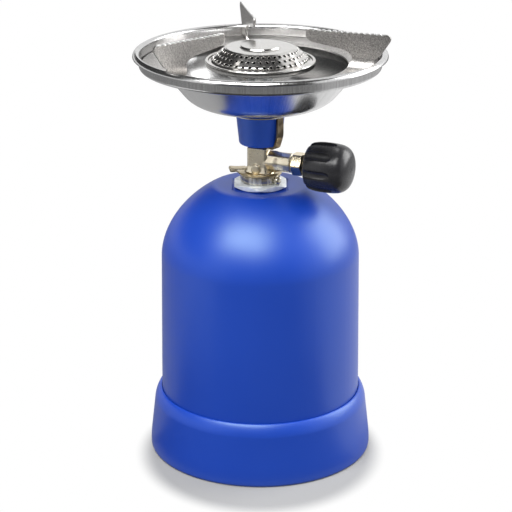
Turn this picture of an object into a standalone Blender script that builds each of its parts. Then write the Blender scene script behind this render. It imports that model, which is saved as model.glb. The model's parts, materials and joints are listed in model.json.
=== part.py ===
"""Portable gas stove: a burner over a drip dish, on a valve that screws into a cartridge housing.

Metres, with +Z up. The origin is the middle of the foot, on the surface that the stove stands on.
The front is at -Y, and the valve's knob points to the right and a little forward.
Run it with blender --background --python part.py, or from the text editor.
"""
import math

import bmesh
import bpy
from mathutils import Vector

MM = 0.001

# Clearances
FIT = 0.3 * MM
SLOT_PLAY = 0.5 * MM
OVERRUN = 3.0 * MM
BURIED = 0.4 * MM

# Cartridge: a pierceable can, which sets the size of the foot and the housing
SEAM_RADIUS = 45.0 * MM
SEAM_HEIGHT = 3.9 * MM
SEAM_PROUD = 0.7 * MM
CAN_RADIUS = SEAM_RADIUS - SEAM_PROUD
CAN_WALL = 0.5 * MM
CAN_HEIGHT = 93.7 * MM
CAN_SHOULDER_DROP = 28.0 * MM
CAN_SHOULDER_ANGLE = 75
CAN_BOSS_RADIUS = 8.0 * MM
CAN_BOSS_STEP = 2.4 * MM
CAN_CORNER = 0.8 * MM
END_WALL = 0.4 * MM
END_RISE = 4.2 * MM
END_TREAD_INSET = 3.5 * MM
END_TREAD_RADIUS = SEAM_RADIUS - END_TREAD_INSET
END_CURVE_SHARES = (0.8, 0.5)

# Foot: a pressed cup whose skirt flares out and whose middle is a raised platform
FOOT_CORNER = 1.6 * MM
FOOT_WALL = 0.8 * MM
LEDGE_TOP = 11.7 * MM
PLATFORM_RISE = 16.3 * MM
PLATFORM_TOP = LEDGE_TOP + PLATFORM_RISE
PLATFORM_CORNER = 1.6 * MM
MOUTH_RISE = 3.0 * MM
MOUTH_TOP = PLATFORM_TOP + MOUTH_RISE
SKIRT_SHOULDER = 6.5 * MM
MOUTH_LAND = 0.4 * MM
SKIRT_TOP = MOUTH_TOP - SKIRT_SHOULDER
SKIRT_STEP = 3.6 * MM
SKIRT_FLARE = 2.3 * MM

# Bayonet between the foot and the housing
PIN_COUNT = 3
PIN_FIRST_ANGLE = math.radians(90)
PIN_RADIUS = 1.8 * MM
PIN_RISE = 5.9 * MM
PIN_HEIGHT = LEDGE_TOP + PIN_RISE
PIN_PROUD = 1.2 * MM
LOCK_TURN = math.radians(25)
SLOT_CURVE_SHARES = (0.25, 0.5, 0.75)

# Housing: a domed shell that drops over the cartridge
HOUSING_WALL = 0.8 * MM
HOUSING_ROOM = 3.3 * MM
HOUSING_RADIUS = SEAM_RADIUS + HOUSING_ROOM + HOUSING_WALL
HOUSING_TAPER = 0.9 * MM
HOUSING_SHOULDER_RADIUS = HOUSING_RADIUS - HOUSING_TAPER
HOUSING_FOOT = LEDGE_TOP + FIT
SKIRT_TOP_RADIUS = HOUSING_RADIUS + SKIRT_STEP
FOOT_RADIUS = SKIRT_TOP_RADIUS + SKIRT_FLARE
CAN_BOTTOM = PLATFORM_TOP + FIT
CAN_TOP = CAN_BOTTOM + CAN_HEIGHT
CROWN_RISE = 13.2 * MM
CROWN_TOP = CAN_TOP + CROWN_RISE
SHOULDER_DROP = 35.1 * MM
SHOULDER_HEIGHT = CROWN_TOP - SHOULDER_DROP
APEX_RISE = 6.3 * MM
DOME_APEX = CROWN_TOP + APEX_RISE
DOME_POWER = 1.82
RECESS_DEPTH = 0.6 * MM
RECESS_SLOPE = 0.7 * MM
RECESS_FLOOR = CROWN_TOP - RECESS_DEPTH

# Stem of the valve, its seal and the piercing pin
STEM_RADIUS = 7.3 * MM
SEAL_THICKNESS = 2.4 * MM
SEAL_INSET = 0.9 * MM
SEAL_RADIUS = STEM_RADIUS - SEAL_INSET
SEAL_BOTTOM = CAN_TOP + FIT
STEM_BOTTOM = SEAL_BOTTOM + SEAL_THICKNESS + FIT
PIERCER_RADIUS = 1.5 * MM
PIERCER_BORE = 0.6 * MM
PIERCER_REACH = 4.5 * MM
PIERCER_TAPER = 3.2 * MM
PIERCER_TIP_RADIUS = 0.8 * MM
PIERCER_SEAT_DEPTH = 5.0 * MM

# Bush in the crown of the housing, with its lock ring
BUSH_SLEEVE_WALL = 2.4 * MM
BUSH_SLEEVE_RADIUS = STEM_RADIUS + FIT + BUSH_SLEEVE_WALL
BUSH_SLEEVE_LENGTH = 8.6 * MM
BUSH_SHOULDER = 2.5 * MM
BUSH_FLATS = 2 * (BUSH_SLEEVE_RADIUS + BUSH_SHOULDER)
BUSH_HEX_HEIGHT = 2.4 * MM
BUSH_HEX_CHAMFER = 0.8 * MM
LOCK_RING_WIDTH = 3.7 * MM
LOCK_RING_RADIUS = BUSH_SLEEVE_RADIUS + FIT + LOCK_RING_WIDTH
LOCK_RING_HEIGHT = 2.4 * MM
RECESS_MARGIN = 1.2 * MM
RECESS_RADIUS = BUSH_FLATS / math.sqrt(3) + RECESS_MARGIN
CROWN_BORDER = 7.0 * MM
CROWN_RADIUS = RECESS_RADIUS + CROWN_BORDER
HEX_BOTTOM = RECESS_FLOOR + FIT
HEX_TOP = HEX_BOTTOM + BUSH_HEX_HEIGHT

# Collar and tab washer under the column
COLLAR_WALL = 2.0 * MM
COLLAR_RADIUS = STEM_RADIUS + FIT + COLLAR_WALL
COLLAR_HEIGHT = 3.35 * MM
COLLAR_CHAMFER = 0.4 * MM
COLLAR_BOTTOM = HEX_TOP + FIT
COLLAR_TOP = COLLAR_BOTTOM + COLLAR_HEIGHT
COLLAR_LUG_WALL = 0.075 * MM
COLLAR_LUG_RADIUS = COLLAR_HEIGHT / 2 - COLLAR_LUG_WALL
COLLAR_LUG_PROUD = 1.9 * MM
COLLAR_LUG_ANGLE = math.radians(-42)
TAB_WASHER_WIDTH = 2.8 * MM
TAB_WASHER_RADIUS = STEM_RADIUS + FIT + TAB_WASHER_WIDTH
TAB_WASHER_THICKNESS = 0.8 * MM
TAB_WASHER_BOTTOM = COLLAR_TOP + FIT
TAB_WASHER_TOP = TAB_WASHER_BOTTOM + TAB_WASHER_THICKNESS
TAB_REACH = 4.8 * MM
TAB_LENGTH = TAB_WASHER_RADIUS + TAB_REACH
TAB_WIDTH = 6.0 * MM
TAB_THICKNESS = 1.7 * MM
TAB_ANGLE = math.radians(188)

# Spindle: seat pad, threaded head, packing and shank
SPINDLE_ANGLE = math.radians(-23)
SPINDLE_RADIUS = 2.3 * MM
CHAMBER_RADIUS = 4.0 * MM
CHAMBER_START = 4.5 * MM
SEAT_HOLE_RADIUS = 1.1 * MM
OUTLET_SLOPE = math.radians(24)
PAD_OVERLAP = 1.5 * MM
PAD_RADIUS = SEAT_HOLE_RADIUS + PAD_OVERLAP
PAD_THICKNESS = 1.9 * MM
THREAD_LENGTH = 1.9 * MM
SPINDLE_TRAVEL_ROOM = 1.5 * MM
PACKING_LENGTH = 2.2 * MM
PAD_START = CHAMBER_START + FIT
THREAD_START = PAD_START + PAD_THICKNESS + FIT
PACKING_START = THREAD_START + THREAD_LENGTH + SPINDLE_TRAVEL_ROOM
SPIGOT_START = PACKING_START + PACKING_LENGTH + FIT

# Body of the valve: a square column with an eight-sided barrel to the side
COLUMN_WIDTH = 10.1 * MM
COLUMN_CHAMFER = 0.7 * MM
COLUMN_SKIRT = 0.2 * MM
COLUMN_HEAD = 1.45 * MM
INLET_RADIUS = 1.2 * MM
BARREL_WALL = 0.7 * MM
BARREL_END_WIDTH = 2 * (CHAMBER_RADIUS + BARREL_WALL)
BARREL_SWELL = 1.1 * MM
BARREL_ROOT_WIDTH = BARREL_END_WIDTH + BARREL_SWELL
SPIGOT_LENGTH = 4.1 * MM
BARREL_LENGTH = SPIGOT_START + SPIGOT_LENGTH
BARREL_SHOULDER_SHARE = 0.5
BARREL_CHAMFER = 0.6 * MM
COLUMN_BOTTOM = TAB_WASHER_TOP + FIT
SPINDLE_HEIGHT = COLUMN_BOTTOM + COLUMN_SKIRT + BARREL_ROOT_WIDTH / 2
COLUMN_TOP = SPINDLE_HEIGHT + BARREL_ROOT_WIDTH / 2 + COLUMN_HEAD
FRONT_BOSS_RADIUS = 2.1 * MM
FRONT_BOSS_PROUD = 1.3 * MM
FRONT_BOSS_RISE = 3.65 * MM
FRONT_BOSS_HEIGHT = COLUMN_BOTTOM + FRONT_BOSS_RISE

# Gland nut and control knob
GLAND_SHOULDER = 0.4 * MM
GLAND_FLATS = BARREL_END_WIDTH + 2 * GLAND_SHOULDER
GLAND_HEX_LENGTH = 5.4 * MM
GLAND_CHAMFER = 0.6 * MM
GLAND_START = BARREL_LENGTH + FIT
GLAND_END = GLAND_START + GLAND_HEX_LENGTH
KNOB_GAP = 2.9 * MM
KNOB_BACK = GLAND_END + KNOB_GAP
KNOB_LENGTH = 20.2 * MM
KNOB_SOCKET_DEPTH = 12.0 * MM
SPINDLE_REACH = KNOB_BACK + KNOB_SOCKET_DEPTH
KNOB_RADIUS = 12.5 * MM
KNOB_FLUTES = 8
KNOB_FLUTE_DEPTH = 1.5 * MM
KNOB_BACK_ROUND = 1.8 * MM
KNOB_NOSE_ROUND = 5.2 * MM
KNOB_FACE_RADIUS = 8.4 * MM
KNOB_FACE_CROWN = 0.9 * MM
KNOB_CROWN_SHARE = 0.5
KNOB_FLUTE_STEPS = 6

# Jet
JET_THREAD_RADIUS = 2.1 * MM
JET_THREAD_DEPTH = 3.0 * MM
JET_SHOULDER = 1.4 * MM
JET_FLATS = 2 * (JET_THREAD_RADIUS + JET_SHOULDER)
JET_HEX_HEIGHT = 2.5 * MM
JET_NOZZLE_RADIUS = 2.0 * MM
JET_NOZZLE_HEIGHT = 1.6 * MM
JET_BORE = 0.9 * MM
JET_ORIFICE = 0.35 * MM
JET_CHAMFER = 0.35 * MM

# Mixing tube
TUBE_RADIUS = 5.4 * MM
TUBE_WALL = 0.7 * MM
TUBE_FLANGE_WIDTH = 2.4 * MM
TUBE_FLANGE_RADIUS = TUBE_RADIUS + TUBE_FLANGE_WIDTH
TUBE_FLANGE_THICKNESS = 0.8 * MM
TUBE_MOUTH_FLARE = 1.4 * MM
TUBE_MOUTH_RADIUS = TUBE_RADIUS + TUBE_MOUTH_FLARE
TUBE_MOUTH_LENGTH = 2.0 * MM

# Conical cup round the jet
CUP_AIR_GAP = 1.9 * MM
CUP_WALL = 0.6 * MM
CUP_BOTTOM_RADIUS = TUBE_MOUTH_RADIUS + CUP_AIR_GAP + CUP_WALL
CUP_FLARE = 1.7 * MM
CUP_TOP_RADIUS = CUP_BOTTOM_RADIUS + CUP_FLARE
CUP_CORNER = 0.9 * MM
CUP_LIP = 0.5 * MM
CUP_TOP_GAP = 0.6 * MM

# Bracket: a U strap between the column and the dish
STRAP_THICKNESS = 1.0 * MM
STRAP_WIDTH = 5.4 * MM
STRAP_ARM_GAP = 0.4 * MM
STRAP_ARM_REACH = CUP_TOP_RADIUS + STRAP_ARM_GAP + STRAP_THICKNESS
STRAP_FOOT_INSET = 2.2 * MM
STRAP_FOOT_REACH = STRAP_ARM_REACH - STRAP_FOOT_INSET
STRAP_KNEE_RISE = 7.0 * MM
STRAP_RISE = 15.7 * MM
STRAP_LUG_WIDTH = 3.6 * MM
STRAP_LUG_THICKNESS = 0.8 * MM
STRAP_LUG_PROUD = 1.4 * MM
STRAP_PAD_WIDTH = 9.4 * MM
STRAP_PAD_REACH = 5.6 * MM
STRAP_PAD_THICKNESS = 0.9 * MM
STRAP_BOTTOM = COLUMN_TOP + FIT
STRAP_KNEE_HEIGHT = STRAP_BOTTOM + STRAP_KNEE_RISE
STRAP_TOP = STRAP_BOTTOM + STRAP_RISE
CUP_BOTTOM = STRAP_BOTTOM + STRAP_THICKNESS + FIT
JET_HEX_BOTTOM = CUP_BOTTOM + CUP_WALL + FIT
JET_TOP = JET_HEX_BOTTOM + JET_HEX_HEIGHT + JET_NOZZLE_HEIGHT

# Washer and nut that clamp the dish on the mixing tube
DISH_WASHER_GAP = 0.4 * MM
DISH_WASHER_BORDER = 1.2 * MM
DISH_WASHER_RADIUS = STRAP_ARM_REACH + DISH_WASHER_BORDER
DISH_WASHER_THICKNESS = 0.8 * MM
DISH_WASHER_BOTTOM = STRAP_TOP + DISH_WASHER_GAP
DISH_WASHER_TOP = DISH_WASHER_BOTTOM + DISH_WASHER_THICKNESS
CUP_TOP = DISH_WASHER_BOTTOM - CUP_TOP_GAP
DISH_FLOOR = DISH_WASHER_TOP + FIT
TUBE_PROUD = 8.0 * MM
TUBE_TOP = DISH_FLOOR + TUBE_PROUD
TUBE_NUT_WALL = 1.8 * MM
TUBE_NUT_FLATS = 2 * (TUBE_RADIUS + FIT + TUBE_NUT_WALL)
TUBE_NUT_HEIGHT = 2.2 * MM
TUBE_NUT_CHAMFER = 0.6 * MM

# Drip dish
DISH_WALL = 0.6 * MM
DISH_FLOOR_BORDER = 0.6 * MM
DISH_FLOOR_RADIUS = STRAP_ARM_REACH + DISH_FLOOR_BORDER
BAND_RADIUS = 57.4 * MM
SHELF_WIDTH = 14.8 * MM
BOWL_RADIUS = BAND_RADIUS - SHELF_WIDTH
BOWL_SHARES = ((0.09, 0.012), (0.34, 0.14), (0.60, 0.34), (0.80, 0.55), (0.93, 0.76), (1.0, 0.95))
BOWL_DEPTH = 21.6 * MM
SHELF_HEIGHT = DISH_FLOOR + BOWL_DEPTH
BAND_CORNER = 1.2 * MM
BAND_RISE = 7.6 * MM
LIP_TOP = SHELF_HEIGHT + BAND_RISE
LIP_REACH = 2.9 * MM
LIP_RADIUS = BAND_RADIUS + LIP_REACH
LIP_ROLL = 1.9 * MM
LIP_DROP = 2.2 * MM
LIP_DROP_ANGLE = 60
TUBE_NUT_BOTTOM = DISH_FLOOR + DISH_WALL + FIT
TUBE_NUT_TOP = TUBE_NUT_BOTTOM + TUBE_NUT_HEIGHT

# Burner body and perforated cap
BURNER_WALL = 0.5 * MM
NECK_PLAY = 0.5 * MM
NECK_RADIUS = TUBE_RADIUS + NECK_PLAY + BURNER_WALL
NECK_LENGTH = 3.2 * MM
NECK_BOTTOM = TUBE_NUT_TOP + FIT
BURNER_RADIUS = 26.2 * MM
HORN_RISE = 15.7 * MM
HORN_SHARES = ((0.08, 0.18), (0.28, 0.50), (0.56, 0.78), (0.88, 0.96))
BURNER_RIM_BOTTOM = NECK_BOTTOM + NECK_LENGTH + HORN_RISE
BURNER_RIM_HEIGHT = 2.3 * MM
BURNER_RIM_TOP = BURNER_RIM_BOTTOM + BURNER_RIM_HEIGHT
CAP_WALL = 0.5 * MM
CAP_SINK = 0.2 * MM
CAP_FOOT = BURNER_RIM_TOP - CAP_SINK
CAP_RISE = 6.6 * MM
CAP_TOP = CAP_FOOT + CAP_RISE
CAP_PLAY = 0.5 * MM
CAP_RIM_RADIUS = BURNER_RADIUS - BURNER_WALL - CAP_PLAY
CAP_FLANGE = 1.6 * MM
CAP_FOOT_RADIUS = CAP_RIM_RADIUS - CAP_FLANGE
CAP_SLOPE_RUN = 7.7 * MM
CAP_TOP_RADIUS = CAP_FOOT_RADIUS - CAP_SLOPE_RUN
CAP_BOSS_SHARE = 0.585
CAP_BOSS_RADIUS = CAP_TOP_RADIUS * CAP_BOSS_SHARE
CAP_BOSS_HEIGHT = 1.0 * MM
CAP_BOSS_SLOPE = 0.6 * MM
CAP_HOLE_RADIUS = 0.8 * MM
CAP_HOLES_IN_ROW = 18
CAP_ROW_SHARES = (0.22, 0.51, 0.80)

# Pan support: a flat ring with three blades
RING_THICKNESS = 1.0 * MM
RING_PLAY = 0.6 * MM
RING_OUTER_RADIUS = BAND_RADIUS - DISH_WALL - RING_PLAY
RING_OVERLAP = 1.2 * MM
RING_INNER_RADIUS = BOWL_RADIUS - RING_OVERLAP
RING_BOTTOM = SHELF_HEIGHT + DISH_WALL + FIT
RING_TOP = RING_BOTTOM + RING_THICKNESS
BLADE_COUNT = 3
BLADE_FIRST_ANGLE = math.radians(-20)
BLADE_THICKNESS = 0.9 * MM
BLADE_RISE = 18.5 * MM
BLADE_TOP = RING_TOP + BLADE_RISE
BLADE_BEND = 6.0 * MM
BLADE_FOOT = 1.5 * MM
BLADE_TOOTH_DEPTH = 0.5 * MM
BLADE_COLUMNS = 12
BLADE_BEND_STEPS = 4
BLADE_RISE_SHARES = (0.09, 0.21, 0.40, 0.60, 0.78, 0.91, 1.0)
BLADE_ROOT_INSET = 4.0 * MM
BLADE_ROOT_RADIUS = RING_INNER_RADIUS + BLADE_ROOT_INSET
BLADE_REACH = 23.2 * MM
BLADE_REACH_SHARES = (0.03, 0.13, 0.40, 0.69, 0.94, 1.0, 0.95)
BLADE_OVERHANG = 7.7 * MM
BLADE_OVERHANG_SHARES = (0.12, 0.31, 0.57, 0.83, 1.0, 0.92, 0.78)

# Facets
COARSE_SIDES = 36
MIDDLE_SIDES = 30
HIDDEN_SIDES = 20
FINE_SIDES = 20
HOLE_SIDES = 6
HEX = 6
SHARP_ANGLE = math.radians(35)

# Finishes: colour, roughness, metallic
BLUE_PAINT = ((0.020, 0.076, 0.552), 0.42, 0.0)
BARE_STEEL = ((0.560, 0.560, 0.570), 0.25, 1.0)
ZINC = ((0.620, 0.640, 0.650), 0.35, 1.0)
YELLOW_ZINC = ((0.480, 0.410, 0.280), 0.35, 1.0)
BRASS = ((0.620, 0.520, 0.330), 0.33, 1.0)
RUBBER = ((0.020, 0.020, 0.020), 0.75, 0.0)
BLACK_PLASTIC = ((0.022, 0.022, 0.024), 0.38, 0.0)
CAN_PAINT = ((0.700, 0.710, 0.720), 0.40, 0.0)


def solid(name, points, faces, look, parent=None):
    """Link a closed mesh with its own material, its faces turned outwards."""
    mesh = bpy.data.meshes.new(name)
    mesh.from_pydata(points, [], faces)
    shell = bmesh.new()
    shell.from_mesh(mesh)
    bmesh.ops.recalc_face_normals(shell, faces=shell.faces)
    shell.to_mesh(mesh)
    shell.free()
    mesh.shade_smooth()
    mesh.set_sharp_from_angle(angle=SHARP_ANGLE)
    piece = bpy.data.objects.new(name, mesh)
    bpy.context.scene.collection.objects.link(piece)
    piece.parent = parent
    if look:
        colour, roughness, metallic = look
        material = bpy.data.materials.new(name + "_finish")
        material.use_nodes = True
        shader = material.node_tree.nodes["Principled BSDF"]
        shader.inputs["Base Color"].default_value = (*colour, 1)
        shader.inputs["Roughness"].default_value = roughness
        shader.inputs["Metallic"].default_value = metallic
        material.diffuse_color = (*colour, 1)
        mesh.materials.append(material)
    return piece


def change(piece, tool, operation):
    """Cut a tool from a piece, or join it to the piece, and hide the tool."""
    tool.hide_render = True
    tool.display_type = 'WIRE'
    step = piece.modifiers.new(tool.name, 'BOOLEAN')
    step.operation = operation
    step.solver = 'EXACT'
    step.object = tool


def cut(piece, tool):
    change(piece, tool, 'DIFFERENCE')


def join(piece, tool):
    change(piece, tool, 'UNION')


def arc(centre, radii, start, end, steps):
    """Points on an ellipse about centre, with the angles in degrees from the outward direction."""
    angles = [math.radians(start + (end - start) * step / steps) for step in range(steps + 1)]
    return [(centre[0] + radii[0] * math.cos(a), centre[1] + radii[1] * math.sin(a)) for a in angles]


def between(low, high, share):
    return low + (high - low) * share


def sheet(line, wall):
    """Close a line of (radius, height) points into a sheet that lies to the right of the line."""
    points = [Vector(point) for point in line]
    back = []
    for index, point in enumerate(points):
        runs = []
        if index > 0:
            runs.append((point - points[index - 1]).normalized())
        if index < len(points) - 1:
            runs.append((points[index + 1] - point).normalized())
        normals = [Vector((run.y, -run.x)) for run in runs]
        mitre = (normals[0] + normals[-1]) / (1 + normals[0].dot(normals[-1]))
        shifted = point + mitre * wall
        back.append((0 if point.x == 0 else shifted.x, shifted.y))
    return list(line) + back[::-1]


def turned(name, outline, sides, look, parent=None):
    """Turn a closed outline of (radius, height) points round the local Z axis."""
    points = []
    loops = []
    for radius, height in outline:
        first = len(points)
        if radius == 0:
            points.append((0, 0, height))
            loops.append([first] * sides)
            continue
        for side in range(sides):
            angle = math.tau * side / sides
            points.append((radius * math.cos(angle), radius * math.sin(angle), height))
        loops.append(list(range(first, first + sides)))
    faces = []
    for here, there in zip(loops, loops[1:] + loops[:1]):
        for side in range(sides):
            ahead = (side + 1) % sides
            corners = dict.fromkeys((here[side], here[ahead], there[ahead], there[side]))
            if len(corners) > 2:
                faces.append(list(corners))
    return solid(name, points, faces, look, parent)


def lofted(name, loops, look, parent=None):
    """Skin a stack of loops that have the same number of points, and close both ends."""
    sides = len(loops[0])
    points = [point for loop in loops for point in loop]
    faces = [list(range(sides)), list(range(len(points) - sides, len(points)))]
    for step in range(len(loops) - 1):
        for side in range(sides):
            ahead = (side + 1) % sides
            low = step * sides
            high = low + sides
            faces.append((low + side, low + ahead, high + ahead, high + side))
    return solid(name, points, faces, look, parent)


def prism(name, outline, low, high, look=None, parent=None, place=None):
    """Raise a flat outline from low to high; place may bend each (x, y, height) point."""
    shell = bmesh.new()
    corners = [shell.verts.new((x, y, low)) for x, y in outline]
    floor = shell.faces.new(corners)
    raised = bmesh.ops.extrude_face_region(shell, geom=[floor])
    for item in raised["geom"]:
        if isinstance(item, bmesh.types.BMVert):
            item.co.z = high
    bmesh.ops.triangulate(shell, faces=shell.faces)
    shell.verts.index_update()
    points = [place(*vert.co) if place else tuple(vert.co) for vert in shell.verts]
    faces = [[vert.index for vert in face.verts] for face in shell.faces]
    shell.free()
    return solid(name, points, faces, look, parent)


def polygon(radius, sides, phase=0.0):
    """Corners of a regular polygon in the XY plane."""
    angles = [phase + math.tau * side / sides for side in range(sides)]
    return [(radius * math.cos(a), radius * math.sin(a)) for a in angles]


def hex_bar(name, flats, low, high, chamfer, look=None, parent=None, phase=0.0):
    """A hexagonal bar whose ends are chamfered."""
    corner = flats / math.sqrt(3)
    steps = ((corner - chamfer, low), (corner, low + chamfer),
             (corner, high - chamfer), (corner - chamfer, high))
    loops = [[(x, y, z) for x, y in polygon(radius, HEX, phase)] for radius, z in steps]
    return lofted(name, loops, look, parent)


def round_bar(name, radius, low, high, parent=None, sides=FINE_SIDES):
    """A plain cylinder, used as a cutter or joined to a piece."""
    return turned(name, ((0, low), (radius, low), (radius, high), (0, high)), sides, None, parent)


def clear_scene():
    for thing in list(bpy.data.objects):
        bpy.data.objects.remove(thing, do_unlink=True)


def axis_empty(name, height, turn):
    """An empty on a joint's axis, which carries the pieces that move about it."""
    empty = bpy.data.objects.new(name, None)
    bpy.context.scene.collection.objects.link(empty)
    empty.location = (0, 0, height)
    empty.rotation_euler = turn
    return empty


def base_cup():
    """One pressed sheet: skirt, rolled foot, inner wall with a ledge, and the platform."""
    mouth = HOUSING_RADIUS + FIT
    ledge_radius = mouth - FOOT_WALL
    guide_radius = HOUSING_RADIUS - HOUSING_WALL - FIT - FOOT_WALL
    roll_radius = FOOT_RADIUS - FOOT_CORNER
    lip = mouth + MOUTH_LAND
    line = [(mouth, MOUTH_TOP)]
    line += arc((lip, SKIRT_TOP), (SKIRT_TOP_RADIUS - lip, MOUTH_TOP - SKIRT_TOP), 90, 0, 4)
    line += arc((roll_radius, FOOT_CORNER), (FOOT_CORNER, FOOT_CORNER), 0, -90, 2)
    line += arc((ledge_radius + FOOT_CORNER, FOOT_CORNER), (FOOT_CORNER, FOOT_CORNER), -90, -180, 1)
    line += [(ledge_radius, LEDGE_TOP - FOOT_WALL), (guide_radius, LEDGE_TOP - FOOT_WALL)]
    corner = PLATFORM_CORNER - FOOT_WALL
    underside = PLATFORM_TOP - FOOT_WALL
    line += arc((guide_radius - corner, underside - corner), (corner, corner), 0, 90, 1)
    line.append((0, underside))
    cup = turned("base_cup", sheet(line, FOOT_WALL), COARSE_SIDES, BLUE_PAINT)
    for index in range(PIN_COUNT):
        pin = round_bar("bayonet_pin_%d" % index, PIN_RADIUS, guide_radius + BURIED,
                        HOUSING_RADIUS + PIN_PROUD, sides=FINE_SIDES // 2)
        pin.location = (0, 0, PIN_HEIGHT)
        pin.rotation_euler = (0, math.radians(90), PIN_FIRST_ANGLE + math.tau * index / PIN_COUNT)
        join(cup, pin)
    return cup


def dome_line(steps):
    """The dome from the crown's edge down to the shoulder, a superellipse."""
    rise = DOME_APEX - SHOULDER_HEIGHT
    crown_angle = math.acos((CROWN_RADIUS / HOUSING_SHOULDER_RADIUS) ** (DOME_POWER / 2))
    points = []
    for step in range(steps + 1):
        angle = crown_angle * (1 - step / steps)
        radius = HOUSING_SHOULDER_RADIUS * math.cos(angle) ** (2 / DOME_POWER)
        points.append((radius, SHOULDER_HEIGHT + rise * math.sin(angle) ** (2 / DOME_POWER)))
    return points


def housing_shell():
    """Domed shell with a recessed crown for the bush and bayonet slots in its hidden foot."""
    bore = BUSH_SLEEVE_RADIUS + FIT
    line = [(bore, RECESS_FLOOR), (RECESS_RADIUS, RECESS_FLOOR), (RECESS_RADIUS + RECESS_SLOPE, CROWN_TOP)]
    line += dome_line(8)
    line += [(HOUSING_RADIUS, MOUTH_TOP), (HOUSING_RADIUS, HOUSING_FOOT)]
    shell = turned("housing_shell", sheet(line, HOUSING_WALL), COARSE_SIDES, BLUE_PAINT)
    half = PIN_RADIUS + SLOT_PLAY
    run = HOUSING_RADIUS * LOCK_TURN
    outline = [(half, HOUSING_FOOT - OVERRUN), (half, PIN_HEIGHT + half)]
    outline += [(half - (run + 2 * half) * share, PIN_HEIGHT + half) for share in SLOT_CURVE_SHARES]
    outline += [(-half - run, PIN_HEIGHT + half), (-half - run, PIN_HEIGHT - half)]
    outline += [(-half - run * (1 - share), PIN_HEIGHT - half) for share in SLOT_CURVE_SHARES]
    outline += [(-half, PIN_HEIGHT - half), (-half, HOUSING_FOOT - OVERRUN)]
    for index in range(PIN_COUNT):
        start = PIN_FIRST_ANGLE + math.tau * index / PIN_COUNT

        def wrap(x, y, depth, start=start):
            angle = start + x / HOUSING_RADIUS
            return depth * math.cos(angle), depth * math.sin(angle), y

        slot = prism("bayonet_slot_%d" % index, outline, HOUSING_RADIUS - HOUSING_WALL - OVERRUN,
                     HOUSING_RADIUS + OVERRUN, place=wrap)
        cut(shell, slot)
    return shell


def bush_nut():
    """Hexagonal bush: one corner to the front, a sleeve through the crown, a bore for the stem."""
    nut = hex_bar("bush_nut", BUSH_FLATS, HEX_BOTTOM, HEX_TOP, BUSH_HEX_CHAMFER, ZINC,
                  phase=math.radians(30))
    join(nut, round_bar("bush_sleeve", BUSH_SLEEVE_RADIUS, HEX_BOTTOM - BUSH_SLEEVE_LENGTH,
                        HEX_BOTTOM + BUSH_HEX_CHAMFER, sides=MIDDLE_SIDES))
    cut(nut, round_bar("bush_bore", STEM_RADIUS + FIT, HEX_BOTTOM - BUSH_SLEEVE_LENGTH - OVERRUN,
                       HEX_TOP + OVERRUN, sides=MIDDLE_SIDES))
    return nut


def bush_lock_ring():
    """Ring screwed on the sleeve from inside, which clamps the bush to the crown."""
    top = RECESS_FLOOR - HOUSING_WALL - FIT
    inner = BUSH_SLEEVE_RADIUS + FIT
    outline = ((inner, top - LOCK_RING_HEIGHT), (LOCK_RING_RADIUS, top - LOCK_RING_HEIGHT),
               (LOCK_RING_RADIUS, top), (inner, top))
    return turned("bush_lock_ring", outline, HIDDEN_SIDES, ZINC)


def cartridge_can():
    """Drawn can: a pierced boss, a domed shoulder and a straight wall that is open below."""
    hole = PIERCER_RADIUS + FIT
    step = CAN_TOP - CAN_BOSS_STEP
    shoulder = CAN_TOP - CAN_SHOULDER_DROP
    line = [(hole, CAN_TOP), (CAN_BOSS_RADIUS - CAN_CORNER, CAN_TOP), (CAN_BOSS_RADIUS, CAN_TOP - CAN_CORNER)]
    line.append((CAN_BOSS_RADIUS, step))
    rise = step - shoulder
    line += arc((CAN_BOSS_RADIUS, shoulder), (CAN_RADIUS - CAN_BOSS_RADIUS, rise),
                CAN_SHOULDER_ANGLE, 0, 5)
    line.append((CAN_RADIUS, CAN_BOTTOM + END_WALL + FIT))
    return turned("cartridge_can", sheet(line, CAN_WALL), HIDDEN_SIDES, CAN_PAINT)


def cartridge_end():
    """Bottom of the cartridge: a hollowed disc whose seam wraps the can's edge."""
    seam_inset = SEAM_RADIUS - CAN_CORNER
    line = [(SEAM_RADIUS, CAN_BOTTOM + SEAM_HEIGHT), (SEAM_RADIUS, CAN_BOTTOM + CAN_CORNER)]
    line += [(seam_inset, CAN_BOTTOM), (END_TREAD_RADIUS, CAN_BOTTOM)]
    for share in END_CURVE_SHARES:
        line.append((END_TREAD_RADIUS * share, CAN_BOTTOM + END_RISE * (1 - share ** 2)))
    line.append((0, CAN_BOTTOM + END_RISE))
    return turned("cartridge_end", sheet(line, END_WALL), HIDDEN_SIDES, CAN_PAINT)


def valve_seal():
    """Rubber ring between the valve's stem and the cartridge's boss."""
    inner = PIERCER_RADIUS + FIT
    top = SEAL_BOTTOM + SEAL_THICKNESS
    outline = ((inner, SEAL_BOTTOM), (SEAL_RADIUS, SEAL_BOTTOM), (SEAL_RADIUS, top), (inner, top))
    return turned("valve_seal", outline, FINE_SIDES, RUBBER)


def piercing_pin():
    """Hollow pin that pierces the boss and lets the gas up into the valve."""
    tip = CAN_TOP - PIERCER_REACH
    top = STEM_BOTTOM + PIERCER_SEAT_DEPTH
    outline = ((PIERCER_BORE, tip), (PIERCER_TIP_RADIUS, tip), (PIERCER_RADIUS, tip + PIERCER_TAPER),
               (PIERCER_RADIUS, top), (PIERCER_BORE, top))
    return turned("piercing_pin", outline, FINE_SIDES // 2, BARE_STEEL)


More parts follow.
